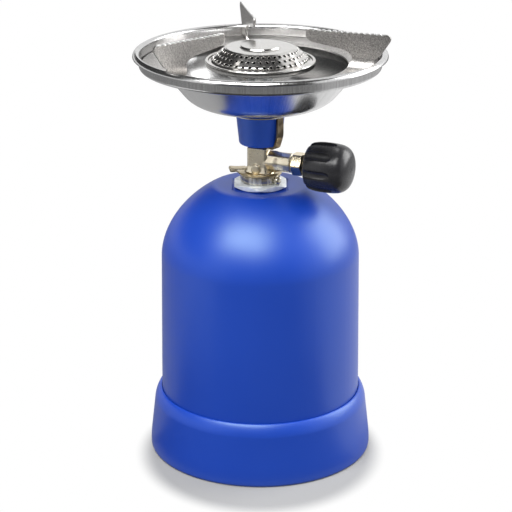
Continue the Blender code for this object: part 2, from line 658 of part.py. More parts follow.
def valve_body(axis, spindle):
    """Forged body: threaded stem, square column, eight-sided barrel, and the gas passages."""
    half = COLUMN_WIDTH / 2
    inset = half - COLUMN_CHAMFER
    square = [(half, -inset), (half, inset), (inset, half), (-inset, half),
              (-half, inset), (-half, -inset), (-inset, -half), (inset, -half)]
    column = prism("valve_body", square, COLUMN_BOTTOM, COLUMN_TOP, BRASS, axis)
    join(column, round_bar("valve_stem_thread", STEM_RADIUS, STEM_BOTTOM, COLUMN_BOTTOM + BURIED,
                           axis, MIDDLE_SIDES))
    barrel_steps = ((BARREL_ROOT_WIDTH, 0), (BARREL_ROOT_WIDTH, BARREL_LENGTH * BARREL_SHOULDER_SHARE),
                    (BARREL_END_WIDTH, BARREL_LENGTH - BARREL_CHAMFER),
                    (BARREL_END_WIDTH - 2 * BARREL_CHAMFER, BARREL_LENGTH))
    flat_phase = math.pi / 8
    loops = [[(x, y, reach) for x, y in polygon(width / 2 / math.cos(flat_phase), 8, flat_phase)]
             for width, reach in barrel_steps]
    join(column, lofted("barrel_bar", loops, None, spindle))
    boss = round_bar("front_boss", FRONT_BOSS_RADIUS, 0, half + FRONT_BOSS_PROUD, axis, FINE_SIDES // 2)
    boss.location = (0, 0, FRONT_BOSS_HEIGHT)
    boss.rotation_euler = (math.radians(90), 0, 0)
    join(column, boss)
    seat_start = -INLET_RADIUS / 2
    chamber = ((0, seat_start), (SEAT_HOLE_RADIUS, seat_start), (SEAT_HOLE_RADIUS, CHAMBER_START),
               (CHAMBER_RADIUS, CHAMBER_START), (CHAMBER_RADIUS, BARREL_LENGTH + OVERRUN),
               (0, BARREL_LENGTH + OVERRUN))
    cut(column, turned("barrel_chamber", chamber, FINE_SIDES, None, spindle))
    socket = PIERCER_RADIUS + FIT
    socket_top = STEM_BOTTOM + PIERCER_SEAT_DEPTH + FIT
    inlet_top = SPINDLE_HEIGHT + SEAT_HOLE_RADIUS / 2
    inlet = ((0, STEM_BOTTOM - OVERRUN), (socket, STEM_BOTTOM - OVERRUN), (socket, socket_top),
             (INLET_RADIUS, socket_top), (INLET_RADIUS, inlet_top), (0, inlet_top))
    cut(column, turned("inlet", inlet, FINE_SIDES // 2, None))
    thread_floor = COLUMN_TOP - JET_THREAD_DEPTH - FIT
    cut(column, round_bar("jet_socket", JET_THREAD_RADIUS + FIT, thread_floor, COLUMN_TOP + OVERRUN,
                          sides=FINE_SIDES // 2))
    outlet = round_bar("outlet", SEAT_HOLE_RADIUS, 0, CHAMBER_START + CHAMBER_RADIUS / 2, spindle, HOLE_SIDES)
    outlet.location = (SPINDLE_HEIGHT - thread_floor - SEAT_HOLE_RADIUS, 0, 0)
    outlet.rotation_euler = (0, OUTLET_SLOPE, 0)
    cut(column, outlet)
    return column


def collar_ring():
    """Plain ring that stands on the bush, with a small round lug on its side."""
    inner = STEM_RADIUS + FIT
    outline = ((inner, COLLAR_BOTTOM), (COLLAR_RADIUS - COLLAR_CHAMFER, COLLAR_BOTTOM),
               (COLLAR_RADIUS, COLLAR_BOTTOM + COLLAR_CHAMFER), (COLLAR_RADIUS, COLLAR_TOP - COLLAR_CHAMFER),
               (COLLAR_RADIUS - COLLAR_CHAMFER, COLLAR_TOP), (inner, COLLAR_TOP))
    ring = turned("collar_ring", outline, MIDDLE_SIDES, BRASS)
    lug = round_bar("collar_lug", COLLAR_LUG_RADIUS, COLLAR_RADIUS - COLLAR_LUG_PROUD,
                    COLLAR_RADIUS + COLLAR_LUG_PROUD, sides=FINE_SIDES // 2)
    lug.location = (0, 0, (COLLAR_BOTTOM + COLLAR_TOP) / 2)
    lug.rotation_euler = (0, math.radians(90), COLLAR_LUG_ANGLE)
    join(ring, lug)
    return ring


def tab_washer():
    """Thin washer with a doubled tab to the left, under the column."""
    inner = STEM_RADIUS + FIT
    outline = ((inner, TAB_WASHER_BOTTOM), (TAB_WASHER_RADIUS, TAB_WASHER_BOTTOM),
               (TAB_WASHER_RADIUS, TAB_WASHER_TOP), (inner, TAB_WASHER_TOP))
    washer = turned("tab_washer", outline, MIDDLE_SIDES, YELLOW_ZINC)
    half = TAB_WIDTH / 2
    root = inner + BURIED
    tip = arc((TAB_LENGTH - half, 0), (half, half), -90, 90, 6)
    tab = prism("washer_tab", [(root, -half)] + tip + [(root, half)],
                TAB_WASHER_BOTTOM + BURIED / 2, TAB_WASHER_BOTTOM + TAB_THICKNESS)
    tab.rotation_euler = (0, 0, TAB_ANGLE)
    join(washer, tab)
    return washer


def gland_nut(spindle):
    """Hexagonal nut on the barrel's end, with a spigot that presses the packing."""
    inner = SPINDLE_RADIUS + FIT
    nut = hex_bar("gland_nut", GLAND_FLATS, GLAND_START, GLAND_END, GLAND_CHAMFER, BRASS, spindle)
    join(nut, round_bar("gland_spigot", CHAMBER_RADIUS - FIT, SPIGOT_START, GLAND_START + GLAND_CHAMFER,
                        spindle))
    cut(nut, round_bar("gland_bore", inner, SPIGOT_START - OVERRUN, GLAND_END + OVERRUN, spindle))
    return nut


def gland_packing(spindle):
    """Rubber ring round the spindle inside the barrel."""
    inner = SPINDLE_RADIUS + FIT
    outer = CHAMBER_RADIUS - FIT
    end = PACKING_START + PACKING_LENGTH
    outline = ((inner, PACKING_START), (outer, PACKING_START), (outer, end), (inner, end))
    return turned("gland_packing", outline, FINE_SIDES, RUBBER, spindle)


def seat_pad(spindle):
    """Rubber pad that closes the seat hole; the spindle pushes it without turning it."""
    end = PAD_START + PAD_THICKNESS
    return turned("seat_pad", ((0, PAD_START), (PAD_RADIUS, PAD_START), (PAD_RADIUS, end), (0, end)),
                  FINE_SIDES, RUBBER, spindle)


def valve_spindle(spindle):
    """Threaded head in the barrel and a plain shank out to the knob."""
    shank = THREAD_START + THREAD_LENGTH
    head = CHAMBER_RADIUS - FIT
    outline = ((0, THREAD_START), (head, THREAD_START), (head, shank), (SPINDLE_RADIUS, shank),
               (SPINDLE_RADIUS, SPINDLE_REACH), (0, SPINDLE_REACH))
    return turned("valve_spindle", outline, FINE_SIDES, BRASS, spindle)


def control_knob(spindle):
    """Fluted knob with a crowned face, bored from the back for the spindle."""
    nose = KNOB_BACK + KNOB_LENGTH - KNOB_FACE_CROWN
    back_round = arc((KNOB_RADIUS - KNOB_BACK_ROUND, KNOB_BACK + KNOB_BACK_ROUND),
                     (KNOB_BACK_ROUND, KNOB_BACK_ROUND), -90, 0, 2)
    nose_round = arc((KNOB_FACE_RADIUS, nose - KNOB_NOSE_ROUND),
                     (KNOB_RADIUS - KNOB_FACE_RADIUS, KNOB_NOSE_ROUND), 0, 90, 4)
    section = back_round + nose_round + [(KNOB_FACE_RADIUS * KNOB_CROWN_SHARE, nose + KNOB_FACE_CROWN)]
    sides = KNOB_FLUTES * KNOB_FLUTE_STEPS
    loops = []
    for radius, reach in section:
        depth = KNOB_FLUTE_DEPTH * max(0, (radius - KNOB_FACE_RADIUS) / (KNOB_RADIUS - KNOB_FACE_RADIUS))
        loop = []
        for side in range(sides):
            angle = math.tau * side / sides
            groove = (0.5 - 0.5 * math.cos(KNOB_FLUTES * angle)) ** 2
            local = radius - depth * groove
            loop.append((local * math.cos(angle), local * math.sin(angle), reach))
        loops.append(loop)
    knob = lofted("control_knob", loops, BLACK_PLASTIC, spindle)
    cut(knob, round_bar("knob_bore", SPINDLE_RADIUS + FIT, KNOB_BACK - OVERRUN, SPINDLE_REACH + FIT, spindle))
    return knob


def strap_half(inset):
    """Right half of the strap's line from its middle, inset from its outer side."""
    return [(0, STRAP_BOTTOM + inset), (STRAP_FOOT_REACH - inset, STRAP_BOTTOM + inset),
            (STRAP_ARM_REACH - inset, STRAP_KNEE_HEIGHT), (STRAP_ARM_REACH - inset, STRAP_TOP)]


def support_bracket(axis):
    """U strap: its foot lies on the column, and a lug on each arm passes through the dish."""
    outer = strap_half(0)
    inner = strap_half(STRAP_THICKNESS)
    outline = outer + inner[:0:-1]
    outline += [(-x, z) for x, z in inner[1:]] + [(-x, z) for x, z in outer[:0:-1]]
    half = STRAP_WIDTH / 2
    strap = prism("support_bracket", outline, -half, half, YELLOW_ZINC, axis, lambda x, y, z: (x, z, y))
    lug_half = STRAP_LUG_WIDTH / 2
    middle = STRAP_ARM_REACH - STRAP_THICKNESS / 2
    for side, name in ((1, "right"), (-1, "left")):
        inside = side * middle - STRAP_LUG_THICKNESS / 2
        outside = side * middle + STRAP_LUG_THICKNESS / 2
        plan = [(inside, -lug_half), (outside, -lug_half), (outside, lug_half), (inside, lug_half)]
        top = DISH_FLOOR + DISH_WALL + STRAP_LUG_PROUD
        join(strap, prism("strap_lug_" + name, plan, STRAP_TOP - OVERRUN, top, parent=axis))
    pad_half = STRAP_PAD_WIDTH / 2
    plan = [(-STRAP_PAD_REACH, -pad_half), (STRAP_PAD_REACH, -pad_half),
            (STRAP_PAD_REACH, pad_half), (-STRAP_PAD_REACH, pad_half)]
    inset = (STRAP_THICKNESS - STRAP_PAD_THICKNESS) / 2
    join(strap, prism("strap_pad", plan, STRAP_BOTTOM + inset, STRAP_BOTTOM + STRAP_THICKNESS - inset,
                      parent=axis))
    cut(strap, round_bar("strap_hole", JET_THREAD_RADIUS + FIT, STRAP_BOTTOM - OVERRUN,
                         STRAP_BOTTOM + OVERRUN, axis, FINE_SIDES // 2))
    return strap


def cut_lug_slots(piece, low, high, axis):
    """Two slots for the strap's lugs."""
    half_run = STRAP_LUG_THICKNESS / 2 + FIT
    half_width = STRAP_LUG_WIDTH / 2 + FIT
    middle = STRAP_ARM_REACH - STRAP_THICKNESS / 2
    for side in (1, -1):
        low_x = side * middle - half_run
        high_x = side * middle + half_run
        plan = [(low_x, -half_width), (high_x, -half_width), (high_x, half_width), (low_x, half_width)]
        cut(piece, prism("%s_slot_%d" % (piece.name, side), plan, low, high, parent=axis))


def jet():
    """Brass jet: a short thread, a hexagon and a nozzle with a fine hole."""
    bottom = COLUMN_TOP - JET_THREAD_DEPTH
    hex_top = JET_HEX_BOTTOM + JET_HEX_HEIGHT
    hexagon = hex_bar("jet", JET_FLATS, JET_HEX_BOTTOM, hex_top, JET_CHAMFER, BRASS)
    core = ((0, bottom), (JET_THREAD_RADIUS, bottom), (JET_THREAD_RADIUS, JET_HEX_BOTTOM + BURIED),
            (JET_NOZZLE_RADIUS, hex_top - BURIED), (JET_NOZZLE_RADIUS, JET_TOP - JET_CHAMFER), (0, JET_TOP))
    join(hexagon, turned("jet_core", core, FINE_SIDES // 2, None))
    bore = ((0, bottom - OVERRUN), (JET_BORE, bottom - OVERRUN), (JET_BORE, hex_top), (JET_ORIFICE, hex_top),
            (JET_ORIFICE, JET_TOP + OVERRUN), (0, JET_TOP + OVERRUN))
    cut(hexagon, turned("jet_bore", bore, HOLE_SIDES * 2, None))
    return hexagon


def burner_cup():
    """Conical cup clamped under the jet; it shields the air intake."""
    hole = JET_THREAD_RADIUS + FIT
    foot_radius = CUP_BOTTOM_RADIUS - CUP_CORNER
    line = [(CUP_TOP_RADIUS, CUP_TOP), (CUP_TOP_RADIUS - CUP_LIP / 2, CUP_TOP - CUP_LIP)]
    line += [(CUP_BOTTOM_RADIUS, CUP_BOTTOM + CUP_CORNER), (foot_radius, CUP_BOTTOM), (hole, CUP_BOTTOM)]
    return turned("burner_cup", sheet(line, CUP_WALL), MIDDLE_SIDES, BLUE_PAINT)


def dish_washer(axis):
    """Bright washer between the cup and the dish."""
    inner = TUBE_RADIUS + FIT
    outline = ((inner, DISH_WASHER_BOTTOM), (DISH_WASHER_RADIUS, DISH_WASHER_BOTTOM),
               (DISH_WASHER_RADIUS, DISH_WASHER_TOP), (inner, DISH_WASHER_TOP))
    washer = turned("dish_washer", outline, MIDDLE_SIDES, BARE_STEEL)
    cut_lug_slots(washer, DISH_WASHER_BOTTOM - OVERRUN, DISH_WASHER_TOP + OVERRUN, axis)
    return washer


def mixing_tube():
    """Tube from over the jet up into the burner, with a flange under the washer."""
    flange_top = DISH_WASHER_BOTTOM - FIT
    flange_bottom = flange_top - TUBE_FLANGE_THICKNESS
    bottom = JET_TOP + FIT
    inner = TUBE_RADIUS - TUBE_WALL
    mouth = TUBE_MOUTH_RADIUS - TUBE_WALL
    throat = bottom + TUBE_MOUTH_LENGTH
    outline = ((mouth, bottom), (TUBE_MOUTH_RADIUS, bottom), (TUBE_RADIUS, throat),
               (TUBE_RADIUS, flange_bottom), (TUBE_FLANGE_RADIUS, flange_bottom),
               (TUBE_FLANGE_RADIUS, flange_top), (TUBE_RADIUS, flange_top),
               (TUBE_RADIUS, TUBE_TOP), (inner, TUBE_TOP), (inner, throat))
    return turned("mixing_tube", outline, FINE_SIDES, BARE_STEEL)


def tube_nut():
    """Thin nut on the mixing tube, which clamps the dish to the washer."""
    nut = hex_bar("tube_nut", TUBE_NUT_FLATS, TUBE_NUT_BOTTOM, TUBE_NUT_TOP, TUBE_NUT_CHAMFER, ZINC)
    cut(nut, round_bar("tube_nut_bore", TUBE_RADIUS + FIT, TUBE_NUT_BOTTOM - OVERRUN, TUBE_NUT_TOP + OVERRUN))
    return nut


def drip_dish(axis):
    """Stainless dish: a deep bowl, a flat shelf, an upright band and a lip rolled outwards."""
    floor = DISH_FLOOR + DISH_WALL
    shelf = SHELF_HEIGHT + DISH_WALL
    wall_radius = BAND_RADIUS - DISH_WALL
    line = [(TUBE_RADIUS + FIT, floor), (DISH_FLOOR_RADIUS, floor)]
    for run_share, rise_share in BOWL_SHARES:
        line.append((between(DISH_FLOOR_RADIUS, BOWL_RADIUS, run_share), between(floor, shelf, rise_share)))
    line.append((BOWL_RADIUS + BAND_CORNER, shelf))
    line += arc((wall_radius - BAND_CORNER, shelf + BAND_CORNER), (BAND_CORNER, BAND_CORNER), -90, 0, 2)
    line += arc((wall_radius + LIP_ROLL, LIP_TOP - LIP_ROLL), (LIP_ROLL, LIP_ROLL), 180, 90, 2)
    line += arc((LIP_RADIUS - LIP_DROP, LIP_TOP - LIP_DROP), (LIP_DROP, LIP_DROP),
                LIP_DROP_ANGLE, 0, 2)
    dish = turned("drip_dish", sheet(line, DISH_WALL), COARSE_SIDES, BARE_STEEL)
    cut_lug_slots(dish, DISH_FLOOR - OVERRUN, floor + OVERRUN, axis)
    return dish


def burner_body():
    """Spun horn from the neck on the mixing tube up to a rim that holds the cap."""
    neck_top = NECK_BOTTOM + NECK_LENGTH
    line = [(BURNER_RADIUS, BURNER_RIM_TOP), (BURNER_RADIUS, BURNER_RIM_BOTTOM)]
    for run_share, rise_share in reversed(HORN_SHARES):
        line.append((between(NECK_RADIUS, BURNER_RADIUS, run_share),
                     between(neck_top, BURNER_RIM_BOTTOM, rise_share)))
    line += [(NECK_RADIUS, neck_top), (NECK_RADIUS, NECK_BOTTOM)]
    return turned("burner_body", sheet(line, BURNER_WALL), MIDDLE_SIDES, BARE_STEEL)


def burner_cap():
    """Pressed cap with a raised middle and three staggered rows of flame holes in its cone."""
    line = [(0, CAP_TOP + CAP_BOSS_HEIGHT), (CAP_BOSS_RADIUS, CAP_TOP + CAP_BOSS_HEIGHT),
            (CAP_BOSS_RADIUS + CAP_BOSS_SLOPE, CAP_TOP), (CAP_TOP_RADIUS, CAP_TOP),
            (CAP_FOOT_RADIUS, CAP_FOOT), (CAP_RIM_RADIUS, CAP_FOOT)]
    cap = turned("burner_cap", sheet(line, CAP_WALL), MIDDLE_SIDES, BARE_STEEL)
    slope = math.atan2(CAP_FOOT_RADIUS - CAP_TOP_RADIUS, CAP_TOP - CAP_FOOT)
    points = []
    faces = []
    for row, share in enumerate(CAP_ROW_SHARES):
        radius = between(CAP_TOP_RADIUS, CAP_FOOT_RADIUS, share)
        height = between(CAP_TOP, CAP_FOOT, share)
        for hole in range(CAP_HOLES_IN_ROW):
            turn = math.tau * (hole + row / 2) / CAP_HOLES_IN_ROW
            first = len(points)
            for reach in (-OVERRUN / 2, OVERRUN / 2):
                for x, y in polygon(CAP_HOLE_RADIUS, HOLE_SIDES):
                    out = radius + reach * math.cos(slope) + y * math.sin(slope)
                    up = height + reach * math.sin(slope) - y * math.cos(slope)
                    points.append((out * math.cos(turn) - x * math.sin(turn),
                                   out * math.sin(turn) + x * math.cos(turn), up))
            faces.append([first + side for side in range(HOLE_SIDES)])
            faces.append([first + HOLE_SIDES + side for side in range(HOLE_SIDES)])
            for side in range(HOLE_SIDES):
                ahead = (side + 1) % HOLE_SIDES
                faces.append((first + side, first + ahead, first + HOLE_SIDES + ahead,
                              first + HOLE_SIDES + side))
    cut(cap, solid("flame_holes", points, faces, None))
    return cap


def blade_sheet(name):
    """One blade: a sheet that rises from the ring through a round bend to a toothed top edge."""
    middle = (RING_BOTTOM + RING_TOP) / 2
    quarter = math.pi / 2
    outer = RING_OUTER_RADIUS - BURIED
    rows = [(-BLADE_BEND - BLADE_FOOT, middle, 0.0, BLADE_ROOT_RADIUS - BLADE_BEND / 2, outer)]
    for step in range(BLADE_BEND_STEPS + 1):
        share = step / BLADE_BEND_STEPS
        angle = quarter * share
        inner = between(RING_INNER_RADIUS + BURIED, BLADE_ROOT_RADIUS, share)
        across = -BLADE_BEND + BLADE_BEND * math.sin(angle)
        rows.append((across, middle + BLADE_BEND * (1 - math.cos(angle)), angle, inner, outer))
    knee = middle + BLADE_BEND
    for rise, reach, overhang in zip(BLADE_RISE_SHARES, BLADE_REACH_SHARES, BLADE_OVERHANG_SHARES):
        rows.append((0, between(knee, BLADE_TOP, rise), quarter, BLADE_ROOT_RADIUS - BLADE_REACH * reach,
                     RING_OUTER_RADIUS + BLADE_OVERHANG * overhang))
    columns = BLADE_COLUMNS + 1
    half = BLADE_THICKNESS / 2
    points = []
    for side in (-1, 1):
        for row, (across, height, angle, inner, outer) in enumerate(rows):
            for column in range(columns):
                along = between(inner, outer, column / BLADE_COLUMNS)
                notch = BLADE_TOOTH_DEPTH if row == len(rows) - 1 and column % 2 else 0
                points.append((along, across - side * half * math.sin(angle),
                               height + side * half * math.cos(angle) - notch))
    faces = []
    sheet_size = len(rows) * columns
    for row in range(len(rows) - 1):
        for column in range(BLADE_COLUMNS):
            corner = row * columns + column
            quad = (corner, corner + 1, corner + columns + 1, corner + columns)
            faces.append(quad)
            faces.append(tuple(index + sheet_size for index in quad))
    edge = list(range(columns))
    edge += [row * columns + BLADE_COLUMNS for row in range(1, len(rows))]
    edge += [(len(rows) - 1) * columns + column for column in range(BLADE_COLUMNS - 1, -1, -1)]
    edge += [row * columns for row in range(len(rows) - 2, 0, -1)]
    for here, there in zip(edge, edge[1:] + edge[:1]):
        faces.append((here, there, there + sheet_size, here + sheet_size))
    return solid(name, points, faces, None)


def pan_support_ring():
    """Flat ring on the dish's shelf with three blades that carry the pan."""
    outline = ((RING_INNER_RADIUS, RING_BOTTOM), (RING_OUTER_RADIUS, RING_BOTTOM),
               (RING_OUTER_RADIUS, RING_TOP), (RING_INNER_RADIUS, RING_TOP))
    ring = turned("pan_support_ring", outline, COARSE_SIDES, BARE_STEEL)
    for index in range(BLADE_COUNT):
        blade = blade_sheet("blade_%d" % index)
        blade.rotation_euler = (0, 0, BLADE_FIRST_ANGLE + math.tau * index / BLADE_COUNT)
        join(ring, blade)
    return ring


def build_stove():
    clear_scene()
    valve_axis = axis_empty("valve_axis", 0, (0, 0, SPINDLE_ANGLE))
    spindle_axis = axis_empty("spindle_axis", SPINDLE_HEIGHT, (0, math.radians(90), SPINDLE_ANGLE))
    base_cup()
    cartridge_can()
    cartridge_end()
    housing_shell()
    bush_nut()
    bush_lock_ring()
    valve_seal()
    piercing_pin()
    valve_body(valve_axis, spindle_axis)
    collar_ring()
    tab_washer()
    seat_pad(spindle_axis)
    valve_spindle(spindle_axis)
    gland_packing(spindle_axis)
    gland_nut(spindle_axis)
    control_knob(spindle_axis)
    support_bracket(valve_axis)
    burner_cup()
    jet()
    dish_washer(valve_axis)
    mixing_tube()
    tube_nut()
    drip_dish(valve_axis)
    burner_body()
    burner_cap()
    pan_support_ring()


build_stove()
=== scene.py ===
# %% [markdown]
# # A portable gas stove
#
# The stove stands on a gas cartridge. A pressed foot holds the cartridge, a domed housing drops over it and
# locks on three pins, a brass valve screws into the housing's crown, and a steel dish on top of the valve
# carries the burner and a ring with three blades for the pan.
#
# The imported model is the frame: it holds every size and every moving body. This file gives each piece its
# finished surface. A piece is a grid of points that a formula works out, so each piece starts with the idea
# of its formula, and its sizes are read from the frame or named beside it.

# %% Load the frame
import json
import math

import bmesh
import bpy
import numpy as np
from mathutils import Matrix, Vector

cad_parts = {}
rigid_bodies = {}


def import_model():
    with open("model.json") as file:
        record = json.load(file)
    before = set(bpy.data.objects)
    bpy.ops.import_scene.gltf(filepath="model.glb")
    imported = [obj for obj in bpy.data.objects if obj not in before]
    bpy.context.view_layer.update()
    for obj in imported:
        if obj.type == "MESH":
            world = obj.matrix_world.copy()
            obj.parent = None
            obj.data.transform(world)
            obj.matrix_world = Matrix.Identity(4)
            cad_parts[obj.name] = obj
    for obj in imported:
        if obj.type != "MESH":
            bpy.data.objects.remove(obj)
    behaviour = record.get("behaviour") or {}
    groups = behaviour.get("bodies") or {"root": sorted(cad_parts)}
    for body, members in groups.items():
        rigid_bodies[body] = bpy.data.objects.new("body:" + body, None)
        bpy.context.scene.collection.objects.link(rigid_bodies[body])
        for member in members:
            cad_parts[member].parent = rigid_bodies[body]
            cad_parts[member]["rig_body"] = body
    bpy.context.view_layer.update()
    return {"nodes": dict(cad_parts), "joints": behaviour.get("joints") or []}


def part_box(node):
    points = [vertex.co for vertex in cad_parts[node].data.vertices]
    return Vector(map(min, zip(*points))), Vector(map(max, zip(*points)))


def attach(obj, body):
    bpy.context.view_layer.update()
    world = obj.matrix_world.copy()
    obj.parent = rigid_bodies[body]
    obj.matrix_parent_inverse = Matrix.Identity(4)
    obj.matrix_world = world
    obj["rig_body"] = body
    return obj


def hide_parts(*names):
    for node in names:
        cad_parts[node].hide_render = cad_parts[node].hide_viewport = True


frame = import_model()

MM = 0.001

# %% [markdown]
# ## Reading sizes from the frame
#
# A size that is typed twice can come apart. The highest and lowest corners of each solid are in the frame, so
# a piece takes its height and radius from there, and only what the solid doesn't show, such as the thickness
# of a sheet, gets a value of its own.
#
# The valve's spindle lies across the stove. Pieces on it are made upright about Z and then laid along the
# spindle's own axis, which the knob's joint names.

# %% Sizes that several pieces share
FIT = 0.3 * MM


def low(node):
    return np.array(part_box(node)[0])


def high(node):
    return np.array(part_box(node)[1])


def base_of(node):
    return low(node)[2]


def top_of(node):
    return high(node)[2]


def radius_of(node):
    """The radius of a solid that is round about the Z axis."""
    return high(node)[0]


print("housing, mm:", round(top_of("housing_shell") / MM, 1), "at its top,",
      round(2 * radius_of("housing_shell") / MM, 1), "across")

# %% The spindle's line
knob_joint = next(joint for joint in frame["joints"] if joint["name"] == "knob_turn")
SPINDLE_MIDDLE = np.array(knob_joint["pos_m"])
OUT = np.array(knob_joint["axis"])
UP = np.array((0.0, 0.0, 1.0))
ASIDE = np.cross(UP, OUT)


def along_spindle(points):
    """Lay an upright piece along the spindle: its Z runs out to the knob and its X points down."""
    down, aside, out = points[..., 0:1], points[..., 1:2], points[..., 2:3]
    return SPINDLE_MIDDLE + out * OUT + aside * ASIDE - down * UP


def spun(turn):
    """A placement that turns an upright piece about Z."""
    spoke = np.array((math.cos(turn), math.sin(turn), 0.0))
    side = np.cross(UP, spoke)
    return lambda points: points[..., 0:1] * spoke + points[..., 1:2] * side + points[..., 2:3] * UP


SPINDLE_TURN = math.atan2(OUT[1], OUT[0])
about_valve = spun(SPINDLE_TURN)


def reach_of(node):
    """Where a solid starts and ends along the spindle, and its largest radius about it."""
    mesh = frame["nodes"][node].data
    places = np.empty(3 * len(mesh.vertices), np.float32)
    mesh.vertices.foreach_get("co", places)
    away = places.reshape(-1, 3) - SPINDLE_MIDDLE
    reach = away @ OUT
    radius = np.linalg.norm(away - reach[:, None] * OUT, axis=1)
    return float(reach.min()), float(reach.max()), float(radius.max())


print("knob along its spindle, mm:", [round(size / MM, 2) for size in reach_of("control_knob")])

# %% [markdown]
# ## Finishes as sums
#
# A finish is a net of shader nodes. Wiring it by hand hides the idea, so a small class wraps a socket and
# lets ordinary sums stand for Math nodes: `1 - mask` or `0.3 + 0.1 * cloud` read as they would on paper.
# Every other node comes from one method, which sets the node up first and then fills or links its sockets.
# The white room at the end of the file is a net of the same kind.

# %% A socket that can stand in a sum


class Signal:
    """A socket of a net. Each operator adds one Math node and gives back its result."""

    def __init__(self, net, socket):
        self.net = net
        self.socket = socket

    def math(self, operation, *values):
        return self.net.math(operation, self, *values)

    def __add__(self, other):
        return self.math("ADD", other)

    def __sub__(self, other):
        return self.math("SUBTRACT", other)

    def __mul__(self, other):
        return self.math("MULTIPLY", other)

    def __rsub__(self, other):
        return self.net.math("SUBTRACT", other, self)

    __radd__ = __add__
    __rmul__ = __mul__


class Net:
    """A tree of shader nodes whose sockets are filled with values or with signals."""

    def __init__(self, tree):
        self.tree = tree

    def fill(self, socket, value):
        if isinstance(value, Signal):
            self.tree.links.new(value.socket, socket)
        elif socket.type == "RGBA":
            socket.default_value = (*value, 1.0)
        else:
            socket.default_value = value

    def node(self, kind, settings=None, sockets=None, output=0):
        made = self.tree.nodes.new(kind)
        for key, value in (settings or {}).items():
            setattr(made, key, value)
        for key, value in (sockets or {}).items():
            self.fill(made.inputs[key], value)
        return Signal(self, made.outputs[output])

    def math(self, operation, *values):
        return self.node("ShaderNodeMath", {"operation": operation}, dict(enumerate(values)))

    def vector(self, operation, *values):
        return self.node("ShaderNodeVectorMath", {"operation": operation}, dict(enumerate(values)))


print("sums on sockets are ready")

# %% A finish


class Finish(Net):
    """A Principled material whose patterns are sums of signals."""

    def __init__(self, name, slot, colour, roughness, metallic=0.0, fixed=None):
        self.slot = slot
        self.material = bpy.data.materials.new(name)
        self.material.use_nodes = True
        super().__init__(self.material.node_tree)
        self.shader = self.tree.nodes["Principled BSDF"]
        self.cover(colour, roughness)
        for socket, value in {"Metallic": metallic, **(fixed or {})}.items():
            self.fill(self.shader.inputs[socket], value)

    def place(self):
        return self.node("ShaderNodeTexCoord", output="Object")

    def axis(self, name):
        return self.node("ShaderNodeSeparateXYZ", sockets={0: self.place()}, output=name)

    def noise(self, scale, detail=2.0, where=None):
        """Noise from 0 to 1 with `scale` features in a metre."""
        sockets = {"Vector": where or self.place(), "Scale": scale, "Detail": detail}
        return self.node("ShaderNodeTexNoise", sockets=sockets)

    def stretched(self, scale, stretch):
        """Noise whose features are longer where `stretch` is small."""
        return self.noise(scale, where=self.vector("MULTIPLY", self.place(), stretch))

    def spokes(self, count, detail):
        """Noise that only changes round the Z axis, with `count` features a turn."""
        flat = self.vector("MULTIPLY", self.place(), (1.0, 1.0, 0.0))
        return self.noise(count / math.tau, detail, self.vector("NORMALIZE", flat))

    def between(self, value, start, end):
        """A smooth step from 0 at start to 1 at end."""
        sockets = {"Value": value, "From Min": start, "From Max": end}
        return self.node("ShaderNodeMapRange", {"interpolation_type": "SMOOTHSTEP"}, sockets)

    def mixed(self, factor, first, second):
        return self.node("ShaderNodeMix", {"data_type": "RGBA"}, {0: factor, 6: first, 7: second}, 2)

    def cover(self, colour, roughness, height=None, depth=0.0):
        """Set colour and roughness, and tilt the surface as if its height varied by `depth` metres."""
        self.fill(self.shader.inputs["Base Color"], colour)
        self.fill(self.shader.inputs["Roughness"], roughness)
        if height is not None:
            tilt = self.node("ShaderNodeBump", sockets={"Distance": depth, "Height": height})
            self.fill(self.shader.inputs["Normal"], tilt)


print("finishes are ready")

# %% [markdown]
# ## Paint, steel, brass, zinc, plastic and rubber
#
# ** Blue paint.** The foot and the housing are powder coated. The coat is satin, with a fine orange peel that
# only shows in its highlights. The cup has the same paint in a lighter blue: painted light that makes up for
# the shade that the dish casts on it.
#
# **Steel.** The dish and the burner are pressed from bright sheet. The press leaves lines that run out from
# the middle, which show as upright streaks on the dish's walls. The blades are cut from a duller sheet with
# a coarse grain. One pattern for both would make the two sheets look alike, so each gets its own.

# %% Blue paint


def blue_paint(name, thin, thick):
    """Satin powder coat that clouds between a thin and a thick coat's colour."""
    paint = Finish(name, "blue_paint", thick, 0.40,
                   fixed={"Specular IOR Level": 0.70, "Specular Tint": (0.74, 1.0, 1.0)})
    cloud = paint.noise(28)
    peel = paint.noise(1300, 3)
    paint.cover(paint.mixed(cloud, thin, thick), 0.35 + 0.06 * cloud + 0.03 * peel, peel, 0.012 * MM)
    return paint


BLUE = blue_paint("blue_paint", (0.0025, 0.034, 0.32), (0.0035, 0.039, 0.35))
# The cup's lighter copy of the paint is painted light, against the shade under the dish.
CUP_BLUE_LIT_AGAINST_SHADE = blue_paint("cup_paint_lit_against_shade", (0.008, 0.075, 0.56), (0.012, 0.085, 0.62))
print("blue paint:", len(BLUE.tree.nodes), "nodes")

# %% Pressed steel
# Painted shade: up-facing steel below a height gets a plain grey, which darkens the dish's bowl a little and
# the inside of the burner nearly to black.
HOLLOW_TILT = 0.12
BURNER_SHADE_DROP = 2.4 * MM


